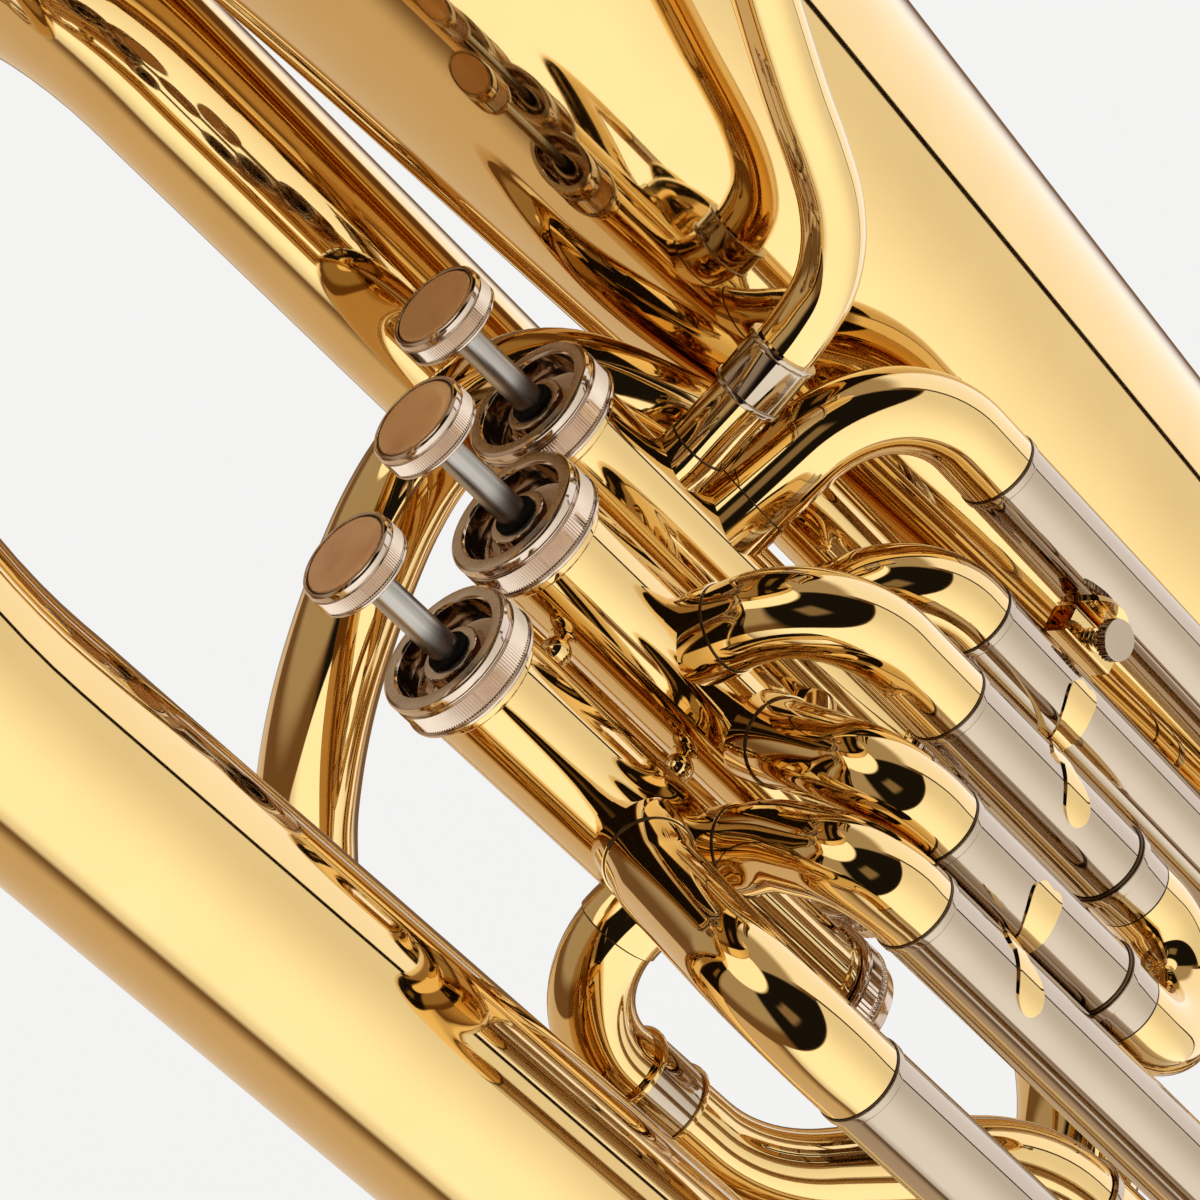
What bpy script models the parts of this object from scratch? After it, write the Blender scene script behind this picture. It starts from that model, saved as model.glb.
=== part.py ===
"""A three-valve euphonium with top-action pistons, one object for each separate piece of the instrument.

Units are metres and +Z is up. The bell is on the +X side, the outer branch on the -X side, and the slide
tubes hang on the -Y side, which faces the audience. Places below are measured from the first valve's
axis and from the lowest point of the bow guard. The root empty then moves the whole instrument so that
the middle of its box is at X = Y = 0.
"""

import math

import bmesh
import bpy
from mathutils import Matrix, Vector

MM = 0.001
GAP = 0.3 * MM

# Heights
CAP_RIM_Z = 398 * MM
BOTTOM_BOW_Z = 140 * MM
TOP_BOW_Z = 460 * MM
BELL_RIM_Z = 683 * MM
BELL_BASE_Z = 136 * MM
SMALL_BOW_Z = 168 * MM
BOW_LEAD = 4 * MM

# The first valve's axis, seen from the middle of the instrument's box
FIRST_VALVE_AT = Vector((-40.2, 8.5, 0)) * MM

# Vertical axes in plan
VALVE_AT = [Vector((0, 0)), Vector((-30.5, -6)) * MM, Vector((-61.2, 0)) * MM]
BELL_AT = Vector((83.6, -8.5)) * MM
OUTER_AT = Vector((-120.6, 23.6)) * MM
INNER_AT = Vector((59, 64)) * MM
ARCH_VALVE_SIDE = Vector((28.4, -5.4)) * MM
ARCH_FAR_SIDE = Vector((-47, 106)) * MM
OUTLET_AT = Vector((-57, -4)) * MM
OUTLET_TURN_AT = Vector((-83.5, 28)) * MM

# Tubing
WALL = 0.6 * MM
LEG_RADIUS = 8.65 * MM
SLIDE_RADIUS = 7.65 * MM
TUNING_LEG_RADIUS = 9.6 * MM
TUNING_SLIDE_RADIUS = 8.6 * MM
LEADPIPE_RADIUS = 6.2 * MM
LEADPIPE_END_RADIUS = 5.8 * MM
OUTLET_RADIUS = 8.3 * MM
OUTLET_END_RADIUS = 9.2 * MM
ARCH_RADII = [9.4 * MM, 9.4 * MM, 10.4 * MM, 11.0 * MM, 12.2 * MM]
INNER_RADII = [17.2 * MM, 17.8 * MM]
OUTER_RADII = [21.4 * MM, 22.6 * MM]
KNUCKLE_RADIUS = 7.2 * MM
BOTTOM_BOW_RADII = [22.6 * MM, 26 * MM, 30.2 * MM, 33.0 * MM, 33.9 * MM]
GUARD_CLEARANCE = 1.3 * MM
GUARD_THICKNESS = 1.0 * MM
BEND_STEP = math.radians(19)

# The arch between its two straight ends
ARCH_RISE_Z = 338 * MM
ARCH_LANDING_Z = 305 * MM
ARCH_CROWN = [
    (28.0, 5.5, 365),
    (26.5, 15.5, 380),
    (20.6, 25.4, 386.5),
    (11.0, 35.5, 387.6),
    (-0.5, 47.5, 384),
    (-17.4, 65.2, 372.3),
    (-33.0, 84.0, 355),
    (-44.5, 100.5, 332),
]

# The leadpipe: its climb from the first valve, then its way round the bell as (degrees, reach, height)
LEADPIPE_CLIMB = [
    (6.3, -9.3, 365),
    (11.5, -18.5, 366.8),
    (19.4, -33.5, 370.6),
    (28.8, -48.1, 376.4),
    (35.7, -57.2, 389),
    (41.4, -63.0, 408.9),
    (47.5, -68.4, 428),
    (56.5, -77.6, 456.6),
]
LEADPIPE_WRAP = [(259, 78, 480), (285, 80, 512), (312, 81, 528), (338, 81, 536), (360, 81, 538)]
LEADPIPE_RUN_OUT = 26 * MM

# Valves
CASING_RADIUS = 12.3 * MM
CASING_BORE = 10.8 * MM
PISTON_RADIUS = 10.4 * MM
STEM_RADIUS = 3.0 * MM
CAP_HEIGHT = 8.3 * MM
CASING_LENGTH = 101.9 * MM
PISTON_TOP_DROP = 10 * MM
PISTON_LENGTH = 83 * MM
BUTTON_RISE = 21.5 * MM
BUTTON_HEIGHT = 6.0 * MM
INSERT_RADIUS = 8.7 * MM
INSERT_DEPTH = 2.0 * MM
BOTTOM_CAP_HEIGHT = 10.7 * MM
BOTTOM_CAP_FLOOR = 3.0 * MM
PORT_SEAT = 11.1 * MM

# Valve slides: the valve, then for the upper and the lower tube the port height, the bend points in plan,
# the bend radius and the height where the bend ends and the straight leg starts.
SLIDES = [
    dict(
        valve=0,
        leg_end=183 * MM,
        insertion=60 * MM,
        bow_drop=12 * MM,
        tubes=[
            dict(port=348, plan=[(35.3, -42.7)], bend=24, leg_top=315.2),
            dict(port=321, plan=[(7.9, -35.2)], bend=15.5, leg_top=303.7),
        ],
    ),
    dict(
        valve=1,
        leg_end=262 * MM,
        insertion=30 * MM,
        bow_drop=12 * MM,
        tubes=[
            dict(port=353, plan=[(-27.3, -47.0)], bend=20, leg_top=317.6),
            dict(port=330, plan=[(-55.8, -50.3)], bend=13, leg_top=315.0),
        ],
    ),
    dict(
        valve=2,
        leg_end=143 * MM,
        insertion=80 * MM,
        bow_drop=12 * MM,
        tubes=[
            dict(port=345, plan=[(-80.9, -15.4), (-117, -52.3)], bend=21, leg_top=321.9),
            dict(port=329, plan=[(-63.4, -25), (-74.8, -49.5)], bend=11.5, leg_top=315.7),
        ],
    ),
]
OUTLET_PORT_Z = 327 * MM
KNUCKLE_Z = 310 * MM

# Main tuning slide
TUNING_TOP_Z = 203 * MM
TUNING_END_Z = 170 * MM
TUNING_BOW_Z = 162 * MM
TUNING_INSERTION = 26 * MM
OUTLET_DROP_Z = 262 * MM
OUTLET_MEETS_LEG_Z = 219 * MM

# Mouthpiece receiver, from the end of the leadpipe
RECEIVER_STATIONS = [26.3 * MM, 40 * MM, 66 * MM, 78 * MM]
RECEIVER_RADII = [6.4 * MM, 7.2 * MM, 8.2 * MM, 8.2 * MM]

# Water key, stays between the slides and the lyre holder
KEY_REACH = 14.6 * MM
KEY_PAD = 12 * MM
KEY_TOUCH = 18 * MM
BRACE_INSET = 3.0 * MM
BRACE_LOBE_OFFSET = 5.5 * MM
BRACE_THICKNESS = 1.2 * MM
LYRE_REACH = 13.4 * MM
LYRE_Z = 276 * MM
LYRE_SCREW_PROFILE = [(0, 8), (3.8, 8), (4.0, 7.6), (4.0, 4.2), (3.6, 3.8), (1.6, 3.4), (1.6, 0), (0, 0)]

LACQUER = dict(color=(0.83, 0.60, 0.22), roughness=0.12, metallic=1.0)
NICKEL = dict(color=(0.72, 0.66, 0.58), roughness=0.2, metallic=1.0)
STEEL = dict(color=(0.42, 0.40, 0.38), roughness=0.35, metallic=1.0)
TAN_PLASTIC = dict(color=(0.62, 0.36, 0.17), roughness=0.3, metallic=0.0)


def clear_scene():
    for obj in list(bpy.data.objects):
        bpy.data.objects.remove(obj)


def new_collection(name):
    collection = bpy.data.collections.new(name)
    bpy.context.scene.collection.children.link(collection)
    return collection


def finish_material(name, color, roughness, metallic):
    material = bpy.data.materials.new(name)
    material.use_nodes = True
    shader = material.node_tree.nodes["Principled BSDF"]
    shader.inputs["Base Color"].default_value = (*color, 1)
    shader.inputs["Roughness"].default_value = roughness
    shader.inputs["Metallic"].default_value = metallic
    return material


clear_scene()
PARTS = new_collection("euphonium")
CUTTERS = new_collection("cutters")


def empty_at(name, location, parent=None):
    """An empty that holds the pieces that belong together."""
    empty = bpy.data.objects.new(name, None)
    empty.location = location
    empty.parent = parent
    PARTS.objects.link(empty)
    return empty


ROOT = empty_at("instrument", FIRST_VALVE_AT)


def add_part(name, mesh, finish, location=(0, 0, 0), parent=ROOT):
    obj = bpy.data.objects.new(name, mesh)
    obj.location = location
    obj.parent = parent
    mesh.materials.clear()
    mesh.materials.append(finish_material(name, **finish))
    PARTS.objects.link(obj)
    mesh.shade_smooth()
    mesh.set_sharp_from_angle(angle=math.radians(40))
    return obj


def add_cutter(name, mesh, transform):
    """A hidden shape that a Boolean takes away from a part, or adds to it."""
    cutter = bpy.data.objects.new(name, mesh)
    cutter.parent = ROOT
    cutter.matrix_local = transform
    cutter.hide_render = True
    cutter.display_type = "WIRE"
    CUTTERS.objects.link(cutter)
    return cutter


def cleaned(mesh):
    """The mesh with its seams welded and its faces turned outwards."""
    body = bmesh.new()
    body.from_mesh(mesh)
    bmesh.ops.remove_doubles(body, verts=body.verts, dist=0.00001)
    bmesh.ops.recalc_face_normals(body, faces=body.faces)
    body.to_mesh(mesh)
    body.free()
    return mesh


def scratch_object(name, data):
    """A helper whose modifiers or bevel make a mesh. evaluated_mesh removes it again."""
    obj = bpy.data.objects.new(name, data)
    PARTS.objects.link(obj)
    return obj


def evaluated_mesh(obj):
    """The object's mesh with its modifiers applied; the object itself is removed."""
    bpy.context.view_layer.update()
    graph = bpy.context.evaluated_depsgraph_get()
    mesh = bpy.data.meshes.new_from_object(obj.evaluated_get(graph))
    bpy.data.objects.remove(obj)
    return mesh


def at_height(plan, z):
    return Vector((plan[0], plan[1], z))


def rounded_path(corners, bends, step=BEND_STEP):
    """The corner points joined by straight runs, each inner corner replaced by an arc of its bend radius."""
    corners = [Vector(corner) for corner in corners]
    path = [corners[0]]
    for before, corner, after, bend in zip(corners, corners[1:], corners[2:], bends):
        inward = (before - corner).normalized()
        outward = (after - corner).normalized()
        half = inward.angle(outward) / 2
        turn = math.pi - 2 * half
        centre = corner + (inward + outward).normalized() * (bend / math.sin(half))
        start = corner + inward * (bend / math.tan(half)) - centre
        end = corner + outward * (bend / math.tan(half)) - centre
        count = max(2, round(turn / step))
        for i in range(count + 1):
            share = i / count
            spoke = start * math.sin((1 - share) * turn) + end * math.sin(share * turn)
            path.append(centre + spoke / math.sin(turn))
    path.append(corners[-1])
    return path


def curve_through(points, count):
    """A smooth curve through the points, each span in count steps. The two end points only set directions."""
    points = [Vector(point) for point in points]
    curve = []
    for before, start, end, after in zip(points, points[1:], points[2:], points[3:]):
        leave = (end - before) / 2
        arrive = (after - start) / 2
        for i in range(count):
            share = i / count
            level = 3 * share**2 - 2 * share**3
            place = start * (1 - level) + end * level
            place += leave * (share * (1 - share) ** 2)
            place -= arrive * (share**2 * (1 - share))
            curve.append(place)
    curve.append(points[-2])
    return curve


def u_path(start, end, way, count, lead=BOW_LEAD):
    """A U from start to end with short straight ends. It bulges down when way is -1 and up when it is 1."""
    start, end = Vector(start), Vector(end)
    centre = (start + end) / 2 + Vector((0, 0, way * lead))
    spoke = (start - end) / 2
    rise = Vector((0, 0, way * spoke.length))
    turns = [math.pi * i / count for i in range(count + 1)]
    arc = [centre + spoke * math.cos(turn) + rise * math.sin(turn) for turn in turns]
    return [start] + arc + [end]


def tube(name, path, radii, finish, sides=12, wall=WALL):
    """A pipe along the path, open at both ends. The radii are spread over the path by distance."""
    curve = bpy.data.curves.new(name, "CURVE")
    curve.dimensions = "3D"
    curve.bevel_depth = 1
    curve.bevel_resolution = (sides - 4) // 2
    curve.use_fill_caps = False
    spline = curve.splines.new("POLY")
    spline.points.add(len(path) - 1)
    travelled = [0]
    for a, b in zip(path, path[1:]):
        travelled.append(travelled[-1] + (b - a).length)
    spans = len(radii) - 1
    for point, place, distance in zip(spline.points, path, travelled):
        point.co = (*place, 1)
        along = distance / travelled[-1] * spans
        low = min(int(along), max(spans - 1, 0))
        high = min(low + 1, spans)
        point.radius = radii[low] + (radii[high] - radii[low]) * (along - low)
    pipe = scratch_object(name, cleaned(evaluated_mesh(scratch_object(name, curve))))
    solidify = pipe.modifiers.new("wall", "SOLIDIFY")
    solidify.thickness = wall
    solidify.offset = -1
    solidify.use_even_offset = True
    return add_part(name, evaluated_mesh(pipe), finish)


def turned_mesh(name, profile, sides):
    """A closed profile of (radius, height) points, swept round Z. The profile runs down its outer side."""
    outline = bmesh.new()
    points = [outline.verts.new((radius, 0, height)) for radius, height in profile]
    for a, b in zip(points, points[1:] + points[:1]):
        outline.edges.new((a, b))
    mesh = bpy.data.meshes.new(name)
    outline.to_mesh(mesh)
    outline.free()
    turned = scratch_object(name, mesh)
    screw = turned.modifiers.new("turn", "SCREW")
    screw.steps = sides
    screw.render_steps = sides
    screw.use_merge_vertices = True
    screw.merge_threshold = 0.00002
    return cleaned(evaluated_mesh(turned))


def cylinder_mesh(name, radius, height, sides, base=0.0):
    """A cylinder from its base height upwards, round Z."""
    body = bmesh.new()
    place = Matrix.Translation((0, 0, base + height / 2))
    bmesh.ops.create_cone(
        body,
        cap_ends=True,
        segments=sides,
        radius1=radius,
        radius2=radius,
        depth=height,
        matrix=place,
    )
    mesh = bpy.data.meshes.new(name)
    body.to_mesh(mesh)
    body.free()
    return mesh


def bore_cutter(name, start, end, radius, sides=12):
    """A hidden cylinder from start to end, which cuts a port."""
    start, end = Vector(start), Vector(end)
    mesh = cylinder_mesh(name, radius, (end - start).length, sides)
    heading = (end - start).to_track_quat("Z", "Y")
    return add_cutter(name, mesh, Matrix.LocRotScale(start, heading, None))


def cut(obj, cutters):
    for cutter in cutters:
        boolean = obj.modifiers.new(cutter.name, "BOOLEAN")
        boolean.operation = "DIFFERENCE"
        boolean.solver = "EXACT"
        boolean.object = cutter


def plate_mesh(name, outline, thickness):
    """A flat piece: the closed outline in XY, extruded both ways along Z."""
    curve = bpy.data.curves.new(name, "CURVE")
    curve.dimensions = "2D"
    curve.fill_mode = "BOTH"
    curve.extrude = thickness / 2
    spline = curve.splines.new("POLY")
    spline.points.add(len(outline) - 1)
    spline.use_cyclic_u = True
    for point, (x, y) in zip(spline.points, outline):
        point.co = (x, y, 0, 1)
    return cleaned(evaluated_mesh(scratch_object(name, curve)))


# The body of the instrument


def bell():
    """The bell throat widens slowly, then flares to a rim of 280 mm with a rolled edge."""
    sections = [
        (4.3, 33.9),
        (120, 40.2),
        (240, 46.6),
        (322, 51.0),
        (372, 55.5),
        (412, 61.5),
        (452, 70.5),
        (482, 81.0),
        (507, 94.0),
        (527, 110.0),
        (540, 125.0),
        (545.5, 136.5),
    ]
    wall = 0.9
    top = (BELL_RIM_Z - BELL_BASE_Z) / MM
    rim = [(136.7, top), (138.5, top), (139.5, top - 0.5), (140, top - 1.6), (139.4, top - 2.9), (137.8, top - 3.3)]
    outside = [(radius, height - 2.2) for height, radius in reversed(sections[-1:])]
    outside += [(radius, height) for height, radius in reversed(sections[:-1])]
    inside = [(radius - wall, height) for height, radius in sections[:-1]]
    inside += [(135.6, sections[-1][0])]
    profile = [(radius * MM, height * MM) for radius, height in rim + outside + inside]
    mesh = turned_mesh("bell", profile, sides=24)
    add_part("bell", mesh, LACQUER, at_height(BELL_AT, BELL_BASE_Z))


def bows_and_branches():
    """The conical tubing from the arch to the bell, in the order in which the air meets it."""
    low = at_height(ARCH_VALVE_SIDE, TUNING_TOP_Z + GAP)
    high = at_height(ARCH_VALVE_SIDE, ARCH_RISE_Z)
    crown = [Vector(point) * MM for point in ARCH_CROWN]
    landing = at_height(ARCH_FAR_SIDE, ARCH_LANDING_Z)
    foot = at_height(ARCH_FAR_SIDE, SMALL_BOW_Z + GAP)
    under_high = high - Vector((0, 0, (crown[0] - high).length))
    under_landing = landing - Vector((0, 0, (crown[-1] - landing).length))
    arch = [low] + curve_through([under_high, high, *crown, landing, under_landing], 2) + [foot]
    tube("arch_branch", arch, ARCH_RADII, LACQUER)

    far = at_height(ARCH_FAR_SIDE, SMALL_BOW_Z)
    inner = at_height(INNER_AT, SMALL_BOW_Z)
    tube("small_bow", u_path(far, inner, -1, 8), [ARCH_RADII[-1], INNER_RADII[0]], LACQUER)

    inner_path = [at_height(INNER_AT, SMALL_BOW_Z + GAP), at_height(INNER_AT, TOP_BOW_Z - GAP)]
    tube("inner_branch", inner_path, INNER_RADII, LACQUER, sides=14, wall=0.7 * MM)

    top_path = u_path(at_height(INNER_AT, TOP_BOW_Z), at_height(OUTER_AT, TOP_BOW_Z), 1, 10)
    tube("top_bow", top_path, [INNER_RADII[1], OUTER_RADII[0]], LACQUER, sides=14, wall=0.7 * MM)

    outer_path = [at_height(OUTER_AT, TOP_BOW_Z - GAP), at_height(OUTER_AT, BOTTOM_BOW_Z + GAP)]
    tube("outer_branch", outer_path, OUTER_RADII, LACQUER, sides=14, wall=0.8 * MM)

    outer = at_height(OUTER_AT, BOTTOM_BOW_Z)
    bell_end = at_height(BELL_AT, BOTTOM_BOW_Z)
    bottom_path = u_path(outer, bell_end, -1, 12)
    tube("bottom_bow", bottom_path, BOTTOM_BOW_RADII, LACQUER, sides=14, wall=0.8 * MM)


def bottom_bow_radius(turn):
    """The bow's radius at an angle from its lowest point, positive towards the bell."""
    along = (turn / math.pi + 0.5) * (len(BOTTOM_BOW_RADII) - 1)
    low = int(along)
    share = along - low
    return BOTTOM_BOW_RADII[low] * (1 - share) + BOTTOM_BOW_RADII[low + 1] * share


def bow_guard():
    """The sheet that wears in place of the bottom bow: a shallow dished plate under its lowest part."""
    bow_centre = (OUTER_AT + BELL_AT) / 2
    bow_radius = (OUTER_AT - BELL_AT).length / 2
    along = (BELL_AT - OUTER_AT).normalized()
    across = Vector((-along.y, along.x))
    guard = bmesh.new()
    spread = math.radians(34)
    cup = math.radians(46)
    rows, columns = 9, 9
    grid = []
    for i in range(rows):
        turn = -spread + 2 * spread * i / (rows - 1)
        row = []
        for j in range(columns):
            lean = -cup + 2 * cup * j / (columns - 1)
            shell_radius = bottom_bow_radius(turn) + GUARD_CLEARANCE
            reach = bow_radius + shell_radius * math.cos(lean)
            plan = bow_centre + along * (reach * math.sin(turn)) + across * (shell_radius * math.sin(lean))
            row.append(guard.verts.new(at_height(plan, BOTTOM_BOW_Z - BOW_LEAD - reach * math.cos(turn))))
        grid.append(row)
    for i in range(rows - 1):
        for j in range(columns - 1):
            guard.faces.new((grid[i][j], grid[i][j + 1], grid[i + 1][j + 1], grid[i + 1][j]))
    mesh = bpy.data.meshes.new("bow_guard")
    guard.to_mesh(mesh)
    guard.free()
    sheet = scratch_object("bow_guard", mesh)
    solidify = sheet.modifiers.new("sheet", "SOLIDIFY")
    solidify.thickness = GUARD_THICKNESS
    solidify.offset = 1
    add_part("bow_guard", cleaned(evaluated_mesh(sheet)), LACQUER)


def leadpipe():
    """From the first valve the leadpipe climbs across the front of the bell and wraps round its far side."""
    climb = [Vector(point) * MM for point in LEADPIPE_CLIMB]
    around = []
    for degrees, reach, height in LEADPIPE_WRAP:
        turn = math.radians(degrees)
        plan = BELL_AT + Vector((math.cos(turn), math.sin(turn))) * (reach * MM)
        around.append(at_height(plan, height * MM))
    last = around[-1]
    run_out = Vector((0, LEADPIPE_RUN_OUT, 0))
    inside_valve = at_height(VALVE_AT[0], climb[0].z)
    path = curve_through([inside_valve, *climb, *around, last + run_out, last + 2 * run_out], 2)
    tube("leadpipe", path, [LEADPIPE_RADIUS, LEADPIPE_RADIUS, LEADPIPE_END_RADIUS], LACQUER, sides=8)
    receiver = [last + Vector((0, distance, 0)) for distance in RECEIVER_STATIONS]
    tube("mouthpiece_receiver", receiver, RECEIVER_RADII, LACQUER, sides=12, wall=0.9 * MM)


def outlet_and_tuning_slide():
    """The third valve's outlet bends down and crosses under the valves to the main tuning slide."""
    outlet = [
        at_height(VALVE_AT[2] + Vector((-7.0, 8.8)) * MM, OUTLET_PORT_Z),
        at_height(OUTLET_TURN_AT, OUTLET_PORT_Z),
        at_height(OUTLET_TURN_AT, OUTLET_DROP_Z),
        at_height(OUTLET_AT, OUTLET_MEETS_LEG_Z),
        at_height(OUTLET_AT, TUNING_TOP_Z + GAP),
    ]
    path = rounded_path(outlet, [23 * MM, 40 * MM, 36 * MM])
    tube("outlet_tube", path, [OUTLET_RADIUS, OUTLET_END_RADIUS], LACQUER)
    places = dict(tuning_leg_valve_side=OUTLET_AT, tuning_leg_bell_side=ARCH_VALVE_SIDE)
    for name, plan in places.items():
        leg = [at_height(plan, TUNING_TOP_Z), at_height(plan, TUNING_END_Z)]
        tube(name, leg, [TUNING_LEG_RADIUS, TUNING_LEG_RADIUS], NICKEL)
    start = at_height(OUTLET_AT, TUNING_BOW_Z)
    end = at_height(ARCH_VALVE_SIDE, TUNING_BOW_Z)
    rise = Vector((0, 0, TUNING_END_Z - TUNING_BOW_Z + TUNING_INSERTION))
    crook_path = u_path(start + rise, end + rise, -1, 8, rise.z)
    crook = tube("tuning_crook", crook_path, [TUNING_SLIDE_RADIUS] * 2, NICKEL)
    water_key(crook, start, end)


def join(obj, others):
    """Makes the other shapes part of this one, as where a fitting is soldered on."""
    for other in others:
        boolean = obj.modifiers.new(other.name, "BOOLEAN")
        boolean.operation = "UNION"
        boolean.solver = "EXACT"
        boolean.object = other


def water_key(crook, start, end):
    """A lever on a vertical pin in front of the crook's lowest part. Its pad closes the drain nipple."""
    along = (end - start).normalized()
    front = Vector((along.y, -along.x, 0))
    axes = Matrix((along, Vector((0, 0, 1)), front)).transposed().to_4x4()
    lowest = (start + end) / 2 - Vector((0, 0, (end - start).length / 2))
    place = Matrix.Translation(lowest + front * KEY_REACH) @ axes

    at_pad = place @ Matrix.Translation((-KEY_PAD, 0, 0))
    upright = place @ Matrix.Rotation(math.radians(-90), 4, "X")

    fittings = []
    for side in (-1, 1):
        at_ear = place @ Matrix.Translation((0, side * 4.0 * MM, -2.8 * MM))
        ear = box_mesh("key_ear", (4.4 * MM, 1.6 * MM, 10 * MM))
        fittings.append(add_cutter("key_ear", ear, at_ear))
    pin = cylinder_mesh("key_pin", 0.7 * MM, 8.6 * MM, 8, -4.3 * MM)
    fittings.append(add_cutter("key_pin", pin, upright))
    nipple = cylinder_mesh("drain_nipple", 3.0 * MM, 3.4 * MM, 12, -7.0 * MM)
    fittings.append(add_cutter("drain_nipple", nipple, at_pad))
    join(crook, fittings)
    drain = cylinder_mesh("drain_hole", 1.4 * MM, 6 * MM, 8, -8.6 * MM)
    cut(crook, [add_cutter("drain_hole", drain, at_pad)])

    outline = []
    for centre, radius, first in ((KEY_TOUCH, 3.6 * MM, -120), (-KEY_PAD, 3.4 * MM, 60)):
        for i in range(7):
            turn = math.radians(first + 240 * i / 6)
            outline.append((centre + radius * math.cos(turn), radius * math.sin(turn)))
    lever = add_part("water_key", plate_mesh("water_key", outline, 1.6 * MM), NICKEL)
    lever.matrix_local = place
    barrel = cylinder_mesh("key_barrel", 1.9 * MM, 5.6 * MM, 10, -2.8 * MM)
    pad = cylinder_mesh("key_pad", 3.3 * MM, 3.0 * MM, 12, -3.3 * MM)
    join(lever, [add_cutter("key_barrel", barrel, upright), add_cutter("key_pad", pad, at_pad)])
    bore = cylinder_mesh("key_bore", 1.0 * MM, 12 * MM, 10, -6 * MM)
    cut(lever, [add_cutter("key_bore", bore, upright)])


# The valves


def port_direction(plan, valve):
    return (Vector(plan) * MM - VALVE_AT[valve]).normalized()


def port_list(valve):
    """Each port of a casing: its direction in plan, height and tube radius."""
    ports = []
    for slide in SLIDES:
        if slide["valve"] == valve:
            for pipe in slide["tubes"]:
                ports.append((port_direction(pipe["plan"][0], valve), pipe["port"] * MM, LEG_RADIUS))
    for other in (valve - 1, valve + 1):
        if 0 <= other <= 2:
            ports.append(((VALVE_AT[other] - VALVE_AT[valve]).normalized(), KNUCKLE_Z, KNUCKLE_RADIUS))
    if valve == 0:
        x, y, height = LEADPIPE_CLIMB[0]
        ports.append((port_direction((x, y), 0), height * MM, LEADPIPE_RADIUS))
    if valve == 2:
        ports.append(((OUTLET_TURN_AT - VALVE_AT[2]).normalized(), OUTLET_PORT_Z, OUTLET_RADIUS))
    return ports


def casing(valve):
    name = f"valve_{valve + 1}_casing"
    top = -CAP_HEIGHT - GAP
    bottom = top - CASING_LENGTH
    profile = [
        (CASING_RADIUS, top),
        (CASING_RADIUS, bottom),
        (CASING_BORE, bottom),
        (CASING_BORE, top),
    ]
    mesh = turned_mesh(name, profile, sides=18)
    axis = at_height(VALVE_AT[valve], CAP_RIM_Z)
    body = add_part(name, mesh, LACQUER, axis)
    cutters = []
    for i, (direction, height, radius) in enumerate(port_list(valve)):
        start = at_height(VALVE_AT[valve] + direction * (4 * MM), height)
        end = at_height(VALVE_AT[valve] + direction * (18 * MM), height)
        cutters.append(bore_cutter(f"{name}_port_{i + 1}", start, end, radius + 0.35 * MM))
    cut(body, cutters)


def top_cap(valve):
    """A dished cap: flat rim, deep groove and a raised hub that the stem passes through."""
    profile = [
        (13.3, 0),
        (13.5, -2.3),
        (14.2, -2.9),
        (14.2, -7.2),
        (14.6, -7.5),
        (14.6, -8.3),
        (3.6, -8.3),
        (3.6, -1.4),
        (5.6, -1.4),
        (6.2, -6.0),
        (10.6, -6.0),
        (11.3, 0),
    ]
    scaled = [(radius * MM, height * MM) for radius, height in profile]
    name = f"valve_{valve + 1}_top_cap"
    add_part(name, turned_mesh(name, scaled, sides=16), NICKEL, at_height(VALVE_AT[valve], CAP_RIM_Z))


def bottom_cap(valve):
    """A knurled cup with a vent hole. The spring stands on its floor."""
    profile = [
        (14.2, 0),
        (14.2, -6.5),
        (13.4, -7.4),
        (13.0, -10.7),
        (2.5, -10.7),
        (2.5, -7.7),
        (9.9, -7.7),
        (9.9, 0),
    ]
    scaled = [(radius * MM, height * MM) for radius, height in profile]
    name = f"valve_{valve + 1}_bottom_cap"
    top = CAP_RIM_Z - CAP_HEIGHT - CASING_LENGTH - 2 * GAP
    add_part(name, turned_mesh(name, scaled, sides=16), NICKEL, at_height(VALVE_AT[valve], top))


def piston(valve, holder):
    """The piston with its three cross passages, which line up with the ports."""
    name = f"valve_{valve + 1}_piston"
    mesh = cylinder_mesh(name, PISTON_RADIUS, PISTON_LENGTH, 18, -PISTON_TOP_DROP - PISTON_LENGTH)
    body = add_part(name, mesh, NICKEL, parent=holder)
    cutters = []
    for i, (direction, height, radius) in enumerate(port_list(valve)[:3]):
        side = Vector((*direction, 0)) * (PISTON_RADIUS + 2 * MM)
        centre = at_height(VALVE_AT[valve], height)
        cutters.append(bore_cutter(f"{name}_bore_{i + 1}", centre - side, centre + side, 5.6 * MM))
    cut(body, cutters)


def stem_button_and_insert(valve, holder):
    stem_name = f"valve_{valve + 1}_stem"
    length = PISTON_TOP_DROP + BUTTON_RISE - 2 * GAP
    mesh = cylinder_mesh(stem_name, STEM_RADIUS, length, 12, GAP - PISTON_TOP_DROP)
    add_part(stem_name, mesh, STEEL, parent=holder)
    profile = [
        (8.95, 6.0),
        (9.5, 5.8),
        (9.5, 4.6),
        (9.95, 4.3),
        (9.95, 0.9),
        (9.6, 0.0),
        (0.0, 0.0),
        (0.0, 3.7),
        (8.95, 3.7),
    ]
    scaled = [(radius * MM, height * MM + BUTTON_RISE) for radius, height in profile]
    button_name = f"valve_{valve + 1}_button"
    add_part(button_name, turned_mesh(button_name, scaled, sides=16), NICKEL, parent=holder)
    insert_name = f"valve_{valve + 1}_insert"
    base = BUTTON_RISE + BUTTON_HEIGHT - INSERT_DEPTH
    mesh = cylinder_mesh(insert_name, INSERT_RADIUS - GAP, INSERT_DEPTH, 16, base)
    add_part(insert_name, mesh, TAN_PLASTIC, parent=holder)


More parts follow.
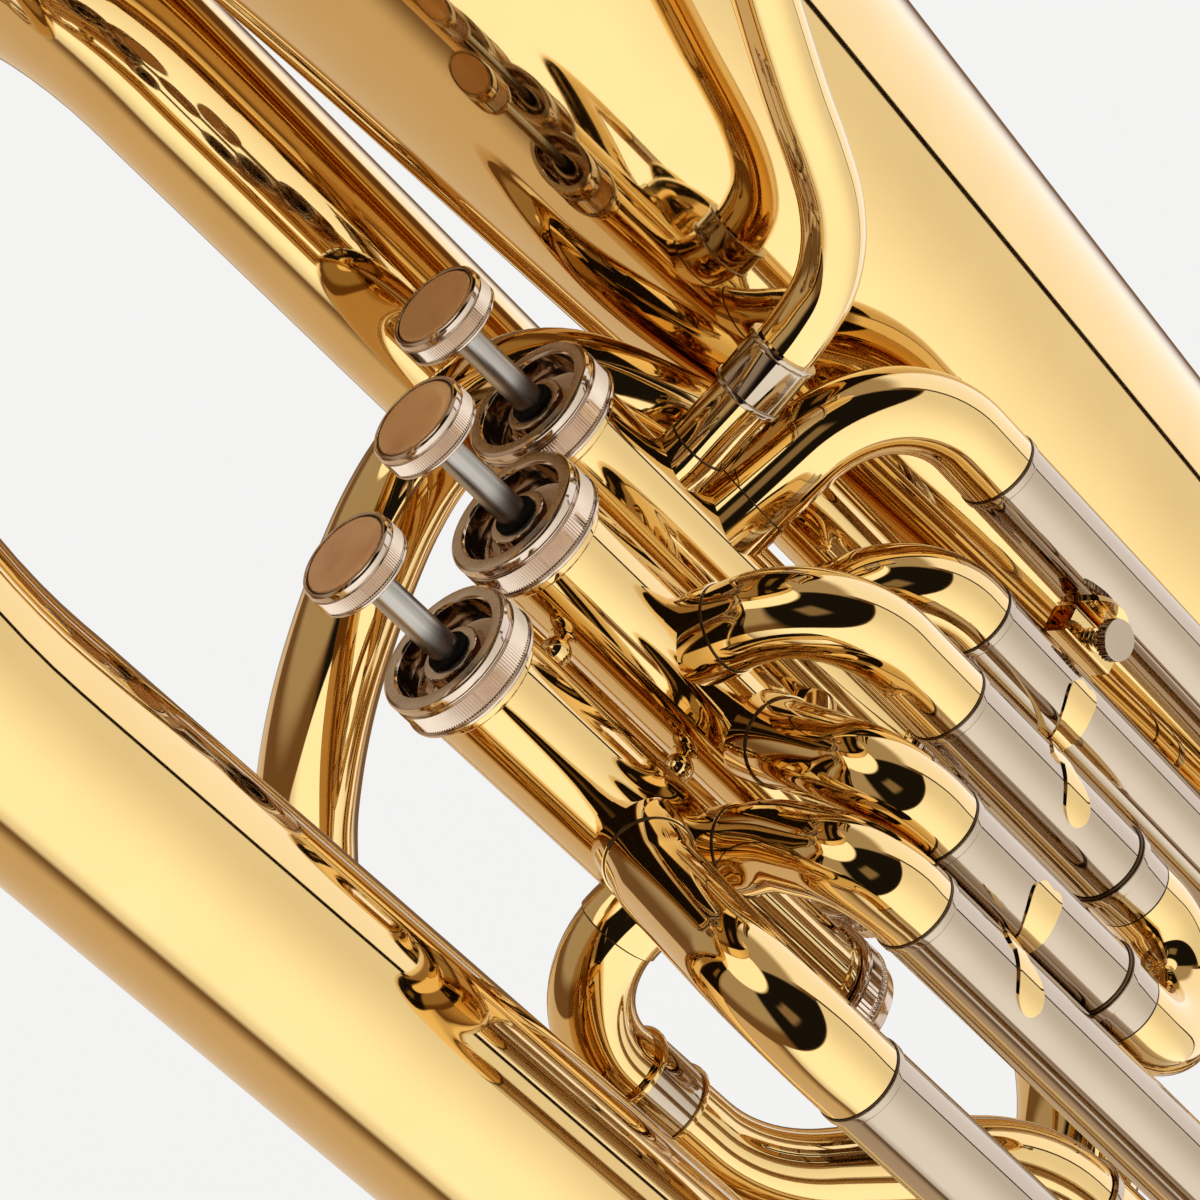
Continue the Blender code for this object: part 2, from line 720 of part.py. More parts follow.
def spring(valve):
    """A coil between the bottom cap's floor and the piston, four and a half turns of wire."""
    name = f"valve_{valve + 1}_spring"
    wire = 0.6 * MM
    floor = CAP_RIM_Z - CAP_HEIGHT - CASING_LENGTH - 2 * GAP - BOTTOM_CAP_HEIGHT + BOTTOM_CAP_FLOOR
    low = floor + GAP + wire
    high = CAP_RIM_Z - PISTON_TOP_DROP - PISTON_LENGTH - GAP - wire
    turns, per_turn, coil = 4.5, 9, 7.6 * MM
    count = round(turns * per_turn)
    curve = bpy.data.curves.new(name, "CURVE")
    curve.dimensions = "3D"
    curve.bevel_depth = wire
    curve.bevel_resolution = 0
    curve.use_fill_caps = True
    spline = curve.splines.new("POLY")
    spline.points.add(count)
    for i, point in enumerate(spline.points):
        turn = 2 * math.pi * i / per_turn
        point.co = (coil * math.cos(turn), coil * math.sin(turn), low + (high - low) * i / count, 1)
    mesh = cleaned(evaluated_mesh(scratch_object(name, curve)))
    add_part(name, mesh, STEEL, at_height(VALVE_AT[valve], 0))


def valve_assembly(valve):
    casing(valve)
    top_cap(valve)
    bottom_cap(valve)
    axis = at_height(VALVE_AT[valve], CAP_RIM_Z)
    holder = empty_at(f"valve_{valve + 1}_action_axis", axis, ROOT)
    piston(valve, holder)
    stem_button_and_insert(valve, holder)
    spring(valve)


def knuckles():
    """The short tubes that pass the air from one casing to the next."""
    for first, second in ((0, 1), (1, 2)):
        direction = (VALVE_AT[second] - VALVE_AT[first]).normalized()
        start = at_height(VALVE_AT[first] + direction * PORT_SEAT, KNUCKLE_Z)
        end = at_height(VALVE_AT[second] - direction * PORT_SEAT, KNUCKLE_Z)
        tube(f"knuckle_{first + 1}_{second + 1}", [start, end], [KNUCKLE_RADIUS] * 2, LACQUER)


# The valve slides


def valve_slide(number, valve, leg_end, insertion, bow_drop, tubes):
    """Two elbows from the valve, two straight outer legs, and the U-shaped crook that slides in them."""
    ends = []
    for place, pipe in zip(("upper", "lower"), tubes):
        direction = port_direction(pipe["plan"][0], valve)
        seat = at_height(VALVE_AT[valve] + direction * PORT_SEAT, pipe["port"] * MM)
        corners = [seat] + [Vector((x, y, pipe["port"])) * MM for x, y in pipe["plan"]]
        foot = Vector((*pipe["plan"][-1], pipe["leg_top"])) * MM
        bends = [30 * MM] * (len(pipe["plan"]) - 1) + [pipe["bend"] * MM]
        elbow = rounded_path(corners + [foot], bends)
        tube(f"slide_{number}_{place}_elbow", elbow, [LEG_RADIUS] * 2, LACQUER, sides=10)
        leg = [foot - Vector((0, 0, GAP)), at_height(foot.xy, leg_end)]
        tube(f"slide_{number}_{place}_leg", leg, [LEG_RADIUS] * 2, NICKEL)
        ends.append(foot.xy)
    start = at_height(ends[0], leg_end - bow_drop)
    end = at_height(ends[1], leg_end - bow_drop)
    rise = Vector((0, 0, bow_drop + insertion))
    crook = u_path(start + rise, end + rise, -1, 7, rise.z)
    tube(f"slide_{number}_crook", crook, [SLIDE_RADIUS] * 2, NICKEL)


def s_brace(name, first, second, height):
    """A flat S-shaped stay across the fronts of two neighbouring legs, one rounded lobe on each."""
    first, second = Vector(first) * MM, Vector(second) * MM
    along = (second - first).normalized()
    front = Vector((along.y, -along.x))
    if front.y > 0:
        front = -front
    span = (second - first).length
    lobe_x = span / 2 - BRACE_INSET
    lobe_z = BRACE_LOBE_OFFSET
    outline = []
    for side in (1, -1):
        for i in range(9):
            turn = math.radians(-60 + 210 * i / 8)
            x = lobe_x + 3.2 * MM * math.cos(turn)
            z = lobe_z + 7.5 * MM * math.sin(turn)
            outline.append((side * x, side * z))
        outline.append((side * 1.6 * MM, side * 4.0 * MM))
    mesh = plate_mesh(name, outline, BRACE_THICKNESS)
    brace = add_part(name, mesh, LACQUER)
    reach = LEG_RADIUS + GAP + BRACE_THICKNESS / 2
    centre = (first + second) / 2 + front * reach
    axes = Matrix(((-along.x, -along.y, 0), (0, 0, 1), (front.x, front.y, 0))).transposed()
    brace.matrix_local = Matrix.Translation(at_height(centre, height)) @ axes.to_4x4()


def box_mesh(name, size):
    body = bmesh.new()
    bmesh.ops.create_cube(body, size=1)
    bmesh.ops.scale(body, vec=Vector(size), verts=body.verts)
    mesh = bpy.data.meshes.new(name)
    body.to_mesh(mesh)
    body.free()
    return mesh


def lyre_holder():
    """A square socket between the first slide's legs, and the thumb screw that clamps a music lyre in it."""
    upper = Vector(SLIDES[0]["tubes"][0]["plan"][0]) * MM
    lower = Vector(SLIDES[0]["tubes"][1]["plan"][0]) * MM
    across = (lower - upper).normalized()
    heading = math.atan2(across.y, across.x)
    centre = at_height(upper + across * LYRE_REACH, LYRE_Z)
    box = add_part("lyre_socket", box_mesh("lyre_socket", (6.4 * MM, 6.4 * MM, 15 * MM)), LACQUER, centre)
    box.rotation_euler.z = heading
    place = Matrix.Translation(centre) @ Matrix.Rotation(heading, 4, "Z")
    slot = box_mesh("lyre_slot", (3.6 * MM, 3.6 * MM, 40 * MM))
    cut(box, [add_cutter("lyre_slot", slot, place)])
    profile = [(radius * MM, height * MM) for radius, height in LYRE_SCREW_PROFILE]
    front = Vector((-across.y, across.x, 0)) * (1 if across.x < 0 else -1)
    screw = add_part("lyre_screw", turned_mesh("lyre_screw", profile, sides=12), NICKEL)
    screw.location = centre + front * 3.5 * MM
    screw.rotation_mode = "QUATERNION"
    screw.rotation_quaternion = front.to_track_quat("Z", "Y")


bell()
bows_and_branches()
bow_guard()
leadpipe()
outlet_and_tuning_slide()
for valve_number in range(3):
    valve_assembly(valve_number)
knuckles()
for slide_number, slide_data in enumerate(SLIDES, start=1):
    valve_slide(slide_number, **slide_data)
s_brace("brace_slides_1_2", (7.9, -35.2), (-27.3, -47.0), 276 * MM)
s_brace("brace_slides_2_3", (-55.8, -50.3), (-74.8, -49.5), 284 * MM)
lyre_holder()
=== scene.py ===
"""The looks of a three-valve euphonium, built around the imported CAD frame.

Every tube is swept again along the path that its CAD node follows, with true round bends, and each piece
rides on its CAD body. Lengths are in metres.
"""

import math

import bmesh
import bpy
import numpy as np
from mathutils import Matrix, Quaternion, Vector


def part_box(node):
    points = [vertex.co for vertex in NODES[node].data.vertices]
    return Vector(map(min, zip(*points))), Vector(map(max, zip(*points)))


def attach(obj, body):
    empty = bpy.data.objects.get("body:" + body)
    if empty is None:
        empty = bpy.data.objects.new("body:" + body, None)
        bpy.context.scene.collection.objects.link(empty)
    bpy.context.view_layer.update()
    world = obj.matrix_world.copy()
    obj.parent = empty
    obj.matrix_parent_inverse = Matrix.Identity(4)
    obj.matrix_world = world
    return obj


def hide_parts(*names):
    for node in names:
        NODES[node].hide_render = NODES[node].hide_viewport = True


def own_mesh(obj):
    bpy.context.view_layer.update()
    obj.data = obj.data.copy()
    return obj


MM = 0.001
UP = Vector((0, 0, 1))
TOWARDS_CAMERA = Vector((-0.706, -0.709, 0))
PICTURE_RIGHT = Vector((0.718, -0.696, 0))
CASING_MEETS = 11.6 * MM

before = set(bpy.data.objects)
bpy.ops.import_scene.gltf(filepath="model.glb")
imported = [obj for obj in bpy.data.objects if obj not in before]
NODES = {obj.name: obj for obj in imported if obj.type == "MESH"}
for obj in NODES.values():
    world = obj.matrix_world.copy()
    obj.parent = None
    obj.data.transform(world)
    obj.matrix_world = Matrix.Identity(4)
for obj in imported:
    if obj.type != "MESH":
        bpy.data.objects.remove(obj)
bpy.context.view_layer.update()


# Meshes


def add_mesh(name, vertices, faces, sharp=38):
    mesh = bpy.data.meshes.new(name)
    mesh.from_pydata([tuple(vertex) for vertex in vertices], [], faces)
    mesh.validate()
    body = bmesh.new()
    body.from_mesh(mesh)
    bmesh.ops.remove_doubles(body, verts=body.verts, dist=1e-6)
    bmesh.ops.recalc_face_normals(body, faces=body.faces)
    body.to_mesh(mesh)
    body.free()
    mesh.shade_smooth()
    mesh.set_sharp_from_angle(angle=math.radians(sharp))
    obj = bpy.data.objects.new(name, mesh)
    bpy.context.scene.collection.objects.link(obj)
    return obj


def dress(obj, body, material, slot, *nodes):
    """Gives a finished piece its material and its CAD body, and hides the CAD nodes it stands for."""
    obj.data.materials.clear()
    obj.data.materials.append(material)
    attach(obj, body)
    if nodes:
        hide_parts(*nodes)
    return obj


def joined(name, pieces):
    """One object from several meshes that are one piece of metal."""
    body = bmesh.new()
    for piece in pieces:
        piece.data.transform(piece.matrix_world)
        body.from_mesh(piece.data)
        bpy.data.objects.remove(piece)
    mesh = bpy.data.meshes.new(name)
    body.to_mesh(mesh)
    body.free()
    mesh.shade_smooth()
    mesh.set_sharp_from_angle(angle=math.radians(38))
    obj = bpy.data.objects.new(name, mesh)
    bpy.context.scene.collection.objects.link(obj)
    return obj


# The path of a CAD tube


def end_rims(body):
    """(centre, mean radius, vertices) of each closed line of sharp edges, the rims at a tube's two ends."""
    neighbours = {}
    for edge in body.edges:
        if len(edge.link_faces) == 2 and edge.calc_face_angle() > math.radians(58):
            for a, b in (edge.verts, reversed(edge.verts)):
                neighbours.setdefault(a, set()).add(b)
    rims = []
    done = set()
    for first in sorted(neighbours, key=lambda v: v.index):
        if first in done:
            continue
        rim = set()
        waiting = {first}
        while waiting:
            vertex = waiting.pop()
            rim.add(vertex)
            waiting |= neighbours[vertex] - rim
        done |= rim
        centre = sum((v.co for v in in_order(rim)), Vector()) / len(rim)
        size = sum((v.co - centre).length for v in in_order(rim)) / len(rim)
        rims.append((centre, size, rim))
    return rims


def in_order(vertices):
    return sorted(vertices, key=lambda v: v.index)


def ring_stations(node):
    """(centre, points) of each ring of a CAD tube's outer skin, from one open end to the other."""
    body = bmesh.new()
    body.from_mesh(NODES[node].data)
    bmesh.ops.remove_doubles(body, verts=body.verts, dist=2e-6)
    body.verts.index_update()
    rims = end_rims(body)
    at_start = [rim for rim in rims if (rim[0] - rims[0][0]).length < 2 * MM]
    ring = max(at_start, key=lambda rim: rim[1])[2]
    seen = set()
    for centre, size, rim in rims:
        widest = max(other[1] for other in rims if (other[0] - centre).length < 1.5 * MM)
        if size < widest - 0.2 * MM:
            seen |= rim
    stations = []
    while ring:
        seen |= ring
        points = [v.co.copy() for v in in_order(ring)]
        stations.append((sum(points, Vector()) / len(points), points))
        ring = {e.other_vert(v) for v in ring for e in v.link_edges} - seen
    body.free()
    return stations


def smooth_stations(node, step=4):
    """(point, direction, radius) along a CAD tube. Its straight runs stay straight and its bends turn in arcs."""
    rings = ring_stations(node)
    points = [centre for centre, _ in rings]
    runs = [(b - a).normalized() for a, b in zip(points, points[1:])]
    turns = [0.0] + [a.angle(b) for a, b in zip(runs, runs[1:])] + [0.0]
    pieces = []
    i = 0
    while i < len(runs):
        pieces.append(("straight", i, i + 1))
        i += 1
        if i < len(runs) and turns[i] > math.radians(1.5):
            full = turns[i + 1]
            end = i + 1
            while end < len(runs) and turns[end] > 0.75 * full:
                end += 1
            pieces.append(("arc", i, end))
            i = end
    placed = []
    for kind, first, last in pieces:
        if kind == "straight":
            for j in (first, last):
                placed.append((points[j], runs[first], float(j)))
            continue
        axis = runs[first].cross(runs[first + 1]).normalized()
        chord_turn = turns[first + 1]
        radius = (points[first + 1] - points[first]).length / (2 * math.sin(chord_turn / 2))
        heading = runs[first - 1]
        centre = points[first] + axis.cross(heading) * radius
        total = chord_turn * (last - first)
        count = max(3, round(math.degrees(total) / step))
        for j in range(1, count):
            share = j / count
            spin = Quaternion(axis, total * share)
            place = centre + spin @ (points[first] - centre)
            placed.append((place, spin @ heading, first + share * (last - first)))
    radii = []
    for index, (centre, around) in enumerate(rings):
        nearest = min(placed, key=lambda entry: abs(entry[2] - index))
        heading = nearest[1]
        flat = [(p - centre) - heading * (p - centre).dot(heading) for p in around]
        radii.append(sum(v.length for v in flat) / len(flat))
    stations = []
    for place, heading, at in placed:
        low = min(int(at), len(radii) - 2)
        radius = radii[low] + (radii[low + 1] - radii[low]) * (at - low)
        if not stations or (place - stations[-1][0]).length > 1e-5:
            stations.append((place, heading, radius))
    return stations


def curved_stations(node, step=2 * MM):
    """(point, direction, radius) along a CAD tube that bends freely: a smooth curve through its ring centres."""
    rings = ring_stations(node)
    points = [centre for centre, _ in rings]
    spans = [(b - a).length for a, b in zip(points, points[1:])]
    runs = [(b - a) / span for a, b, span in zip(points, points[1:], spans)]
    headings = [runs[0]]
    for run, following, span, next_span in zip(runs, runs[1:], spans, spans[1:]):
        if span > 3 * next_span:
            headings.append(run)
        elif next_span > 3 * span:
            headings.append(following)
        else:
            headings.append((run * next_span + following * span).normalized())
    headings.append(runs[-1])
    radii = []
    for (centre, around), heading in zip(rings, headings):
        flat = [(p - centre) - heading * (p - centre).dot(heading) for p in around]
        radii.append(sum(v.length for v in flat) / len(flat))
    stations = []
    for i, span in enumerate(spans):
        leave, arrive = headings[i] * span, headings[i + 1] * span
        count = max(2, round(span / step))
        for j in range(count):
            t = j / count
            level = 3 * t**2 - 2 * t**3
            place = points[i] * (1 - level) + points[i + 1] * level
            place += leave * (t * (1 - t) ** 2) - arrive * (t**2 * (1 - t))
            heading = (points[i + 1] - points[i]) * (6 * t * (1 - t))
            heading += leave * (1 - 4 * t + 3 * t**2) + arrive * (3 * t**2 - 2 * t)
            stations.append((place, heading.normalized(), radii[i] * (1 - t) + radii[i + 1] * t))
    stations.append((points[-1], headings[-1], radii[-1]))
    return stations


def sweep(name, stations, wall=0.6 * MM, sides=56, cap=False):
    """A round tube through the stations, with a wall thickness and flat ends."""
    tangent = stations[0][1]
    side = tangent.orthogonal().normalized()
    vertices = []
    layers = (0.0,) if cap else (0.0, wall)
    for place, heading, radius in stations:
        side = tangent.rotation_difference(heading) @ side
        side = (side - heading * side.dot(heading)).normalized()
        tangent = heading
        other = heading.cross(side)
        for depth in layers:
            for k in range(sides):
                turn = 2 * math.pi * k / sides
                spoke = side * math.cos(turn) + other * math.sin(turn)
                vertices.append(place + spoke * (radius - depth))
    count = len(stations)
    stride = sides * len(layers)
    faces = []
    for layer in range(len(layers)):
        for i in range(count - 1):
            for k in range(sides):
                a = i * stride + layer * sides + k
                b = i * stride + layer * sides + (k + 1) % sides
                faces.append((a, b, b + stride, a + stride))
    for i in (0, count - 1):
        base = i * stride
        if cap:
            faces.append(tuple(base + k for k in range(sides)))
            continue
        for k in range(sides):
            following = (k + 1) % sides
            faces.append((base + k, base + following, base + sides + following, base + sides + k))
    return add_mesh(name, vertices, faces)


def station_at(stations, distance):
    """The station at a distance along the path; negative distances count back from its end."""
    ordered = stations if distance >= 0 else [(p, d, r) for p, d, r in reversed(stations)]
    travel = abs(distance)
    for (p, d, r), (q, e, s) in zip(ordered, ordered[1:]):
        length = (q - p).length
        if travel <= length:
            share = travel / length
            return p.lerp(q, share), d.lerp(e, share).normalized(), r + (s - r) * share
        travel -= length
    return ordered[-1]


def saddled(tube, start, axis):
    """Slides the ring at a tube's start along the tube until it meets the wall of a valve casing all round."""
    place, heading, radius = start
    level = Vector((heading.x, heading.y, 0)).normalized()
    for vertex in tube.data.vertices:
        spoke = vertex.co - place
        if spoke.length < radius + 1 * MM and abs(spoke.dot(heading)) < 1e-5:
            flat = Vector((vertex.co.x - axis.x, vertex.co.y - axis.y, 0))
            along = flat.dot(level)
            across = (flat - level * along).length
            vertex.co += level * (math.sqrt(CASING_MEETS**2 - across**2) - along)


# Turned pieces


def filleted(outline, radius, steps=4):
    """A closed outline with each corner rounded."""
    rounded = []
    count = len(outline)
    for i, (x, y) in enumerate(outline):
        corner = Vector((x, y))
        before = Vector(outline[i - 1]) - corner
        after = Vector(outline[(i + 1) % count]) - corner
        opening = before.angle(after, math.pi)
        reach = min(radius / max(math.tan(opening / 2), 0.2), before.length * 0.45, after.length * 0.45)
        on_axis = x <= 1e-9
        if opening > math.radians(172) or on_axis:
            rounded.append((x, y))
            continue
        first = corner + before.normalized() * reach
        last = corner + after.normalized() * reach
        for k in range(steps + 1):
            share = k / steps
            point = first * (1 - share) ** 2 + corner * (2 * share * (1 - share)) + last * share**2
            rounded.append((point.x, point.y))
    return rounded


def turned(name, profile, origin, axis=UP, sides=96, ridges=None):
    """A closed (radius, height) profile turned round an axis. ridges = (count, depth, low, high) cuts a knurl."""
    heading = UP.rotation_difference(Vector(axis).normalized())
    vertices = []
    for k in range(sides):
        turn = 2 * math.pi * k / sides
        for radius, height in profile:
            if ridges:
                number, depth, low, high, inner = ridges
                if low <= height <= high and radius > inner:
                    radius -= depth * (0.5 - 0.5 * math.cos(number * turn))
            place = Vector((radius * math.cos(turn), radius * math.sin(turn), height))
            vertices.append(Vector(origin) + heading @ place)
    count = len(profile)
    faces = []
    for k in range(sides):
        following = (k + 1) % sides
        for i in range(count):
            j = (i + 1) % count
            corner = (k * count + i, k * count + j, following * count + j, following * count + i)
            if profile[i][0] <= 1e-9 and profile[j][0] <= 1e-9:
                continue
            faces.append(corner)
    return add_mesh(name, vertices, faces)


def scaled(points):
    return [(x * MM, y * MM) for x, y in points]


def box_axis(node):
    """The middle of a CAD node in plan, its lowest height and its highest."""
    low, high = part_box(node)
    return Vector(((low.x + high.x) / 2, (low.y + high.y) / 2, 0)), low.z, high.z


# Materials


def new_material(name):
    material = bpy.data.materials.new(name)
    material.use_nodes = True
    tree = material.node_tree
    return material, tree, tree.nodes["Principled BSDF"]


def noise(tree, scale, detail=3.0, coordinates="Object", stretch=None):
    where = tree.nodes.new("ShaderNodeTexCoord")
    source = where.outputs[coordinates]
    if stretch:
        mapping = tree.nodes.new("ShaderNodeMapping")
        mapping.inputs["Scale"].default_value = stretch
        tree.links.new(source, mapping.inputs["Vector"])
        source = mapping.outputs["Vector"]
    texture = tree.nodes.new("ShaderNodeTexNoise")
    texture.inputs["Scale"].default_value = scale
    texture.inputs["Detail"].default_value = detail
    tree.links.new(source, texture.inputs["Vector"])
    return texture.outputs["Fac"]


def spread(tree, value, low, high):
    """The value from 0 to 1 as a value from low to high."""
    ramp = tree.nodes.new("ShaderNodeMapRange")
    ramp.inputs["From Min"].default_value = 0.3
    ramp.inputs["From Max"].default_value = 0.7
    ramp.inputs["To Min"].default_value = low
    ramp.inputs["To Max"].default_value = high
    tree.links.new(value, ramp.inputs["Value"])
    return ramp.outputs["Result"]


def mixed(tree, factor, first, second):
    mix = tree.nodes.new("ShaderNodeMix")
    mix.data_type = "RGBA"
    tree.links.new(factor, mix.inputs["Factor"])
    mix.inputs[6].default_value = (*first, 1)
    mix.inputs[7].default_value = (*second, 1)
    return mix.outputs[2]


def bumped(tree, shader, height, strength, distance):
    bump = tree.nodes.new("ShaderNodeBump")
    bump.inputs["Strength"].default_value = strength
    bump.inputs["Distance"].default_value = distance
    tree.links.new(height, bump.inputs["Height"])
    tree.links.new(bump.outputs["Normal"], shader.inputs["Normal"])
    return bump


def metal(name, pale, deep, roughness, waviness=0.03, stretch=None, scale=45, lacquer=0.0):
    """A polished metal: its colour, its gloss and its surface all vary a little. Lacquer is a clear coat."""
    material, tree, shader = new_material(name)
    shader.inputs["Metallic"].default_value = 1.0
    shader.inputs["Coat Weight"].default_value = lacquer
    shader.inputs["Coat Roughness"].default_value = 0.02
    shader.inputs["Coat IOR"].default_value = 1.6
    slow = noise(tree, scale, 2.0, stretch=stretch)
    fine = noise(tree, 900, 4.0, stretch=stretch)
    tree.links.new(mixed(tree, spread(tree, slow, 0, 1), pale, deep), shader.inputs["Base Color"])
    tree.links.new(spread(tree, fine, *roughness), shader.inputs["Roughness"])
    bumped(tree, shader, slow, waviness, 0.4 * MM)
    return material


def swirled_tan():
    material, tree, shader = new_material("button_insert_tan")
    shader.inputs["Roughness"].default_value = 0.22
    shader.inputs["Coat Weight"].default_value = 0.6
    shader.inputs["Coat Roughness"].default_value = 0.08
    where = tree.nodes.new("ShaderNodeTexCoord")
    wave = tree.nodes.new("ShaderNodeTexWave")
    wave.wave_type = "RINGS"
    wave.inputs["Scale"].default_value = 38
    wave.inputs["Distortion"].default_value = 6.0
    wave.inputs["Detail"].default_value = 3.0
    wave.inputs["Detail Scale"].default_value = 1.4
    tree.links.new(where.outputs["Object"], wave.inputs["Vector"])
    tree.links.new(
        mixed(tree, wave.outputs["Fac"], (0.80, 0.38, 0.16), (0.97, 0.56, 0.27)), shader.inputs["Base Color"]
    )
    bumped(tree, shader, wave.outputs["Fac"], 0.06, 0.2 * MM)
    return material


def dark_felt():
    material, tree, shader = new_material("black_felt")
    grain = noise(tree, 2600, 5.0)
    tree.links.new(mixed(tree, grain, (0.004, 0.004, 0.004), (0.02, 0.018, 0.016)), shader.inputs["Base Color"])
    shader.inputs["Roughness"].default_value = 0.95
    shader.inputs["Specular IOR Level"].default_value = 0.15
    bumped(tree, shader, grain, 0.8, 0.3 * MM)
    return material


GOLD = metal("lacquered_brass", (0.745, 0.505, 0.18), (0.715, 0.48, 0.165), (0.03, 0.05), 0.005, lacquer=1.0)
NICKEL = metal("nickel_silver", (0.485, 0.39, 0.30), (0.46, 0.37, 0.28), (0.035, 0.065), 0.008)
CAP_NICKEL = metal("nickel_turned", (0.62, 0.50, 0.40), (0.56, 0.44, 0.35), (0.06, 0.12), 0.03, scale=200)
SATIN = metal("nickel_satin", (0.74, 0.62, 0.50), (0.66, 0.55, 0.44), (0.24, 0.36), 0.1, scale=300)
STEEL = metal("steel_stem", (0.46, 0.42, 0.375), (0.36, 0.33, 0.295), (0.26, 0.38), 0.15, (1, 1, 0.04), 700)
# Dark brown for the thin rings at joints and grooves: painted shade of the gap there, with some grime.
JOINT_SHADE_AND_GRIME = metal("joint_shade_and_grime", (0.12, 0.07, 0.03), (0.05, 0.03, 0.015), (0.3, 0.5))
FELT = dark_felt()
TAN = swirled_tan()
BRASS_SLOT = "lacquered_brass"
NICKEL_SLOT = "nickel"


# Tubes


def ring(name, stations, at, outline, body, material, slot, sides=72):
    """A turned band round a tube, its outline given as (height over the tube, distance along it) in millimetres."""
    place, heading, radius = station_at(stations, at)
    profile = [(radius + rise * MM, along * MM) for rise, along in outline]
    return dress(turned(name, filleted(profile, 0.25 * MM), place, heading, sides), body, material, slot)


def band(low, high, length):
    """The outline of a plain band from one rise over the tube to another, centred on its place."""
    return [(low, -length / 2), (high, -length / 2), (high, length / 2), (low, length / 2)]


def part_of(stations, start, end, radius=None):
    """The stretch of a path between two distances from its start."""
    lengths = [0.0]
    for (p, _, _), (q, _, _) in zip(stations, stations[1:]):
        lengths.append(lengths[-1] + (q - p).length)
    if end <= 0:
        end += lengths[-1]
    kept = [station_at(stations, max(start, 1e-7))]
    kept += [s for s, l in zip(stations, lengths) if start + 1e-5 < l < end - 1e-5]
    kept.append(station_at(stations, min(end, lengths[-1] - 1e-7)))
    return [(p, d, radius or r) for p, d, r in kept]


def total_length(stations):
    return sum((q - p).length for (p, _, _), (q, _, _) in zip(stations, stations[1:]))


PATHS = {}
FREE_BENDS = ("arch_branch", "leadpipe")
JOINT_GAP = 0.31 * MM
SLEEVE = 5.6 * MM


def lengthened(stations, by):
    """The path carried on, straight, at both ends, to meet its neighbours."""
    (first, heading, radius), (last, onward, width) = stations[0], stations[-1]
    return [(first - heading * by, heading, radius)] + stations + [(last + onward * by, onward, width)]


def plain_tube(node, body="horn", material=None, slot=BRASS_SLOT, wall=0.6 * MM, sides=64):
    PATHS[node] = curved_stations(node) if node in FREE_BENDS else smooth_stations(node)
    if node == "top_bow":
        PATHS[node] = lengthened(PATHS[node], JOINT_GAP)
    tube = sweep(node + "_tube", PATHS[node], wall, sides)
    return dress(tube, body, material or GOLD, slot, node)


def port_end(node, start, valve):
    """Fits a tube to its valve casing: a saddled end, a short soldered sleeve and a thin dark ring of painted shade,
    with some grime, at the joint.
    """
    axis = box_axis(f"valve_{valve}_casing")[0]
    saddled(bpy.data.objects[node + "_tube"], start[0], axis)
    sleeve = [(p, d, r + 0.45 * MM) for p, d, r in part_of(start, 0, SLEEVE)]
    collar = sweep(node + "_port_sleeve", sleeve, 0.42 * MM, 64)
    saddled(collar, start[0], axis)
    dress(collar, "horn", GOLD, BRASS_SLOT)
    # The dark ring paints the shade in the gap at the sleeve's end, with some grime.
    ring(node + "_port_joint_shade", start, SLEEVE + 0.2 * MM, band(-0.3, 0.14, 0.36), "horn", JOINT_SHADE_AND_GRIME, BRASS_SLOT)


def body_tubing():
    for node in ("outer_branch", "top_bow", "inner_branch", "bottom_bow"):
        plain_tube(node, sides=112)
    for node in ("small_bow", "arch_branch"):
        plain_tube(node, sides=80)
    for node in ("outlet_tube", "knuckle_1_2", "knuckle_2_3", "leadpipe"):
        plain_tube(node)
    plain_tube("mouthpiece_receiver", material=NICKEL, slot=NICKEL_SLOT)
    for node in ("tuning_leg_valve_side", "tuning_leg_bell_side"):
        plain_tube(node)


body_tubing()


def guard_sheet():
    """A plate that hugs the underside of the bottom bow."""
    PATHS["bottom_bow"] = smooth_stations("bottom_bow", 3)
    bow = part_of(PATHS["bottom_bow"], 6 * MM, -6 * MM)
    lowest = min(range(len(bow)), key=lambda i: bow[i][0].z)
    sideways = bow[lowest][1]
    across = sideways.cross(UP).normalized()
    rows = []
    low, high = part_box("bow_guard")
    for place, heading, radius in bow:
        if not low.x + 4 * MM < place.x < high.x - 4 * MM:
            continue
        down = across.cross(heading).normalized()
        down = down if down.z < 0 else -down
        rows.append((place, down, radius))
    count = 36
    half = math.radians(52)
    vertices = []
    for i, (place, down, radius) in enumerate(rows):
        end = min(i, len(rows) - 1 - i) / 3
        spread_here = half * min(1.0, math.sqrt(max(end, 0.02)))
        for rise in (1.3 * MM, 2.3 * MM):
            for k in range(count + 1):
                turn = spread_here * (2 * k / count - 1)
                spoke = down * math.cos(turn) + across * math.sin(turn)
                vertices.append(place + spoke * (radius + rise))
    line = count + 1
    stride = 2 * line
    faces = []
    for i in range(len(rows) - 1):
        for k in range(count):
            for layer in (0, line):
                a = i * stride + layer + k
                faces.append((a, a + 1, a + 1 + stride, a + stride))
        for k in (0, count):
            a = i * stride + k
            faces.append((a, a + line, a + line + stride, a + stride))
    for i in (0, len(rows) - 1):
        for k in range(count):
            a = i * stride + k
            faces.append((a, a + 1, a + 1 + line, a + line))
    dress(add_mesh("bow_guard_plate", vertices, faces), "horn", GOLD, BRASS_SLOT, "bow_guard")


def smooth_profile(points, steps=8):
    """Points along a smooth curve through the given ones."""
    curve = []
    count = len(points)
    for i in range(count - 1):
        p = [Vector(points[max(0, min(count - 1, i + k))]) for k in (-1, 0, 1, 2)]
        for j in range(steps):
            t = j / steps
            blend = (
                p[1] * 2
                + (p[2] - p[0]) * t
                + (p[0] * 2 - p[1] * 5 + p[2] * 4 - p[3]) * t**2
                + (p[1] * 3 - p[0] - p[2] * 3 + p[3]) * t**3
            )
            curve.append(tuple(blend / 2))
    curve.append(tuple(points[-1]))
    return curve


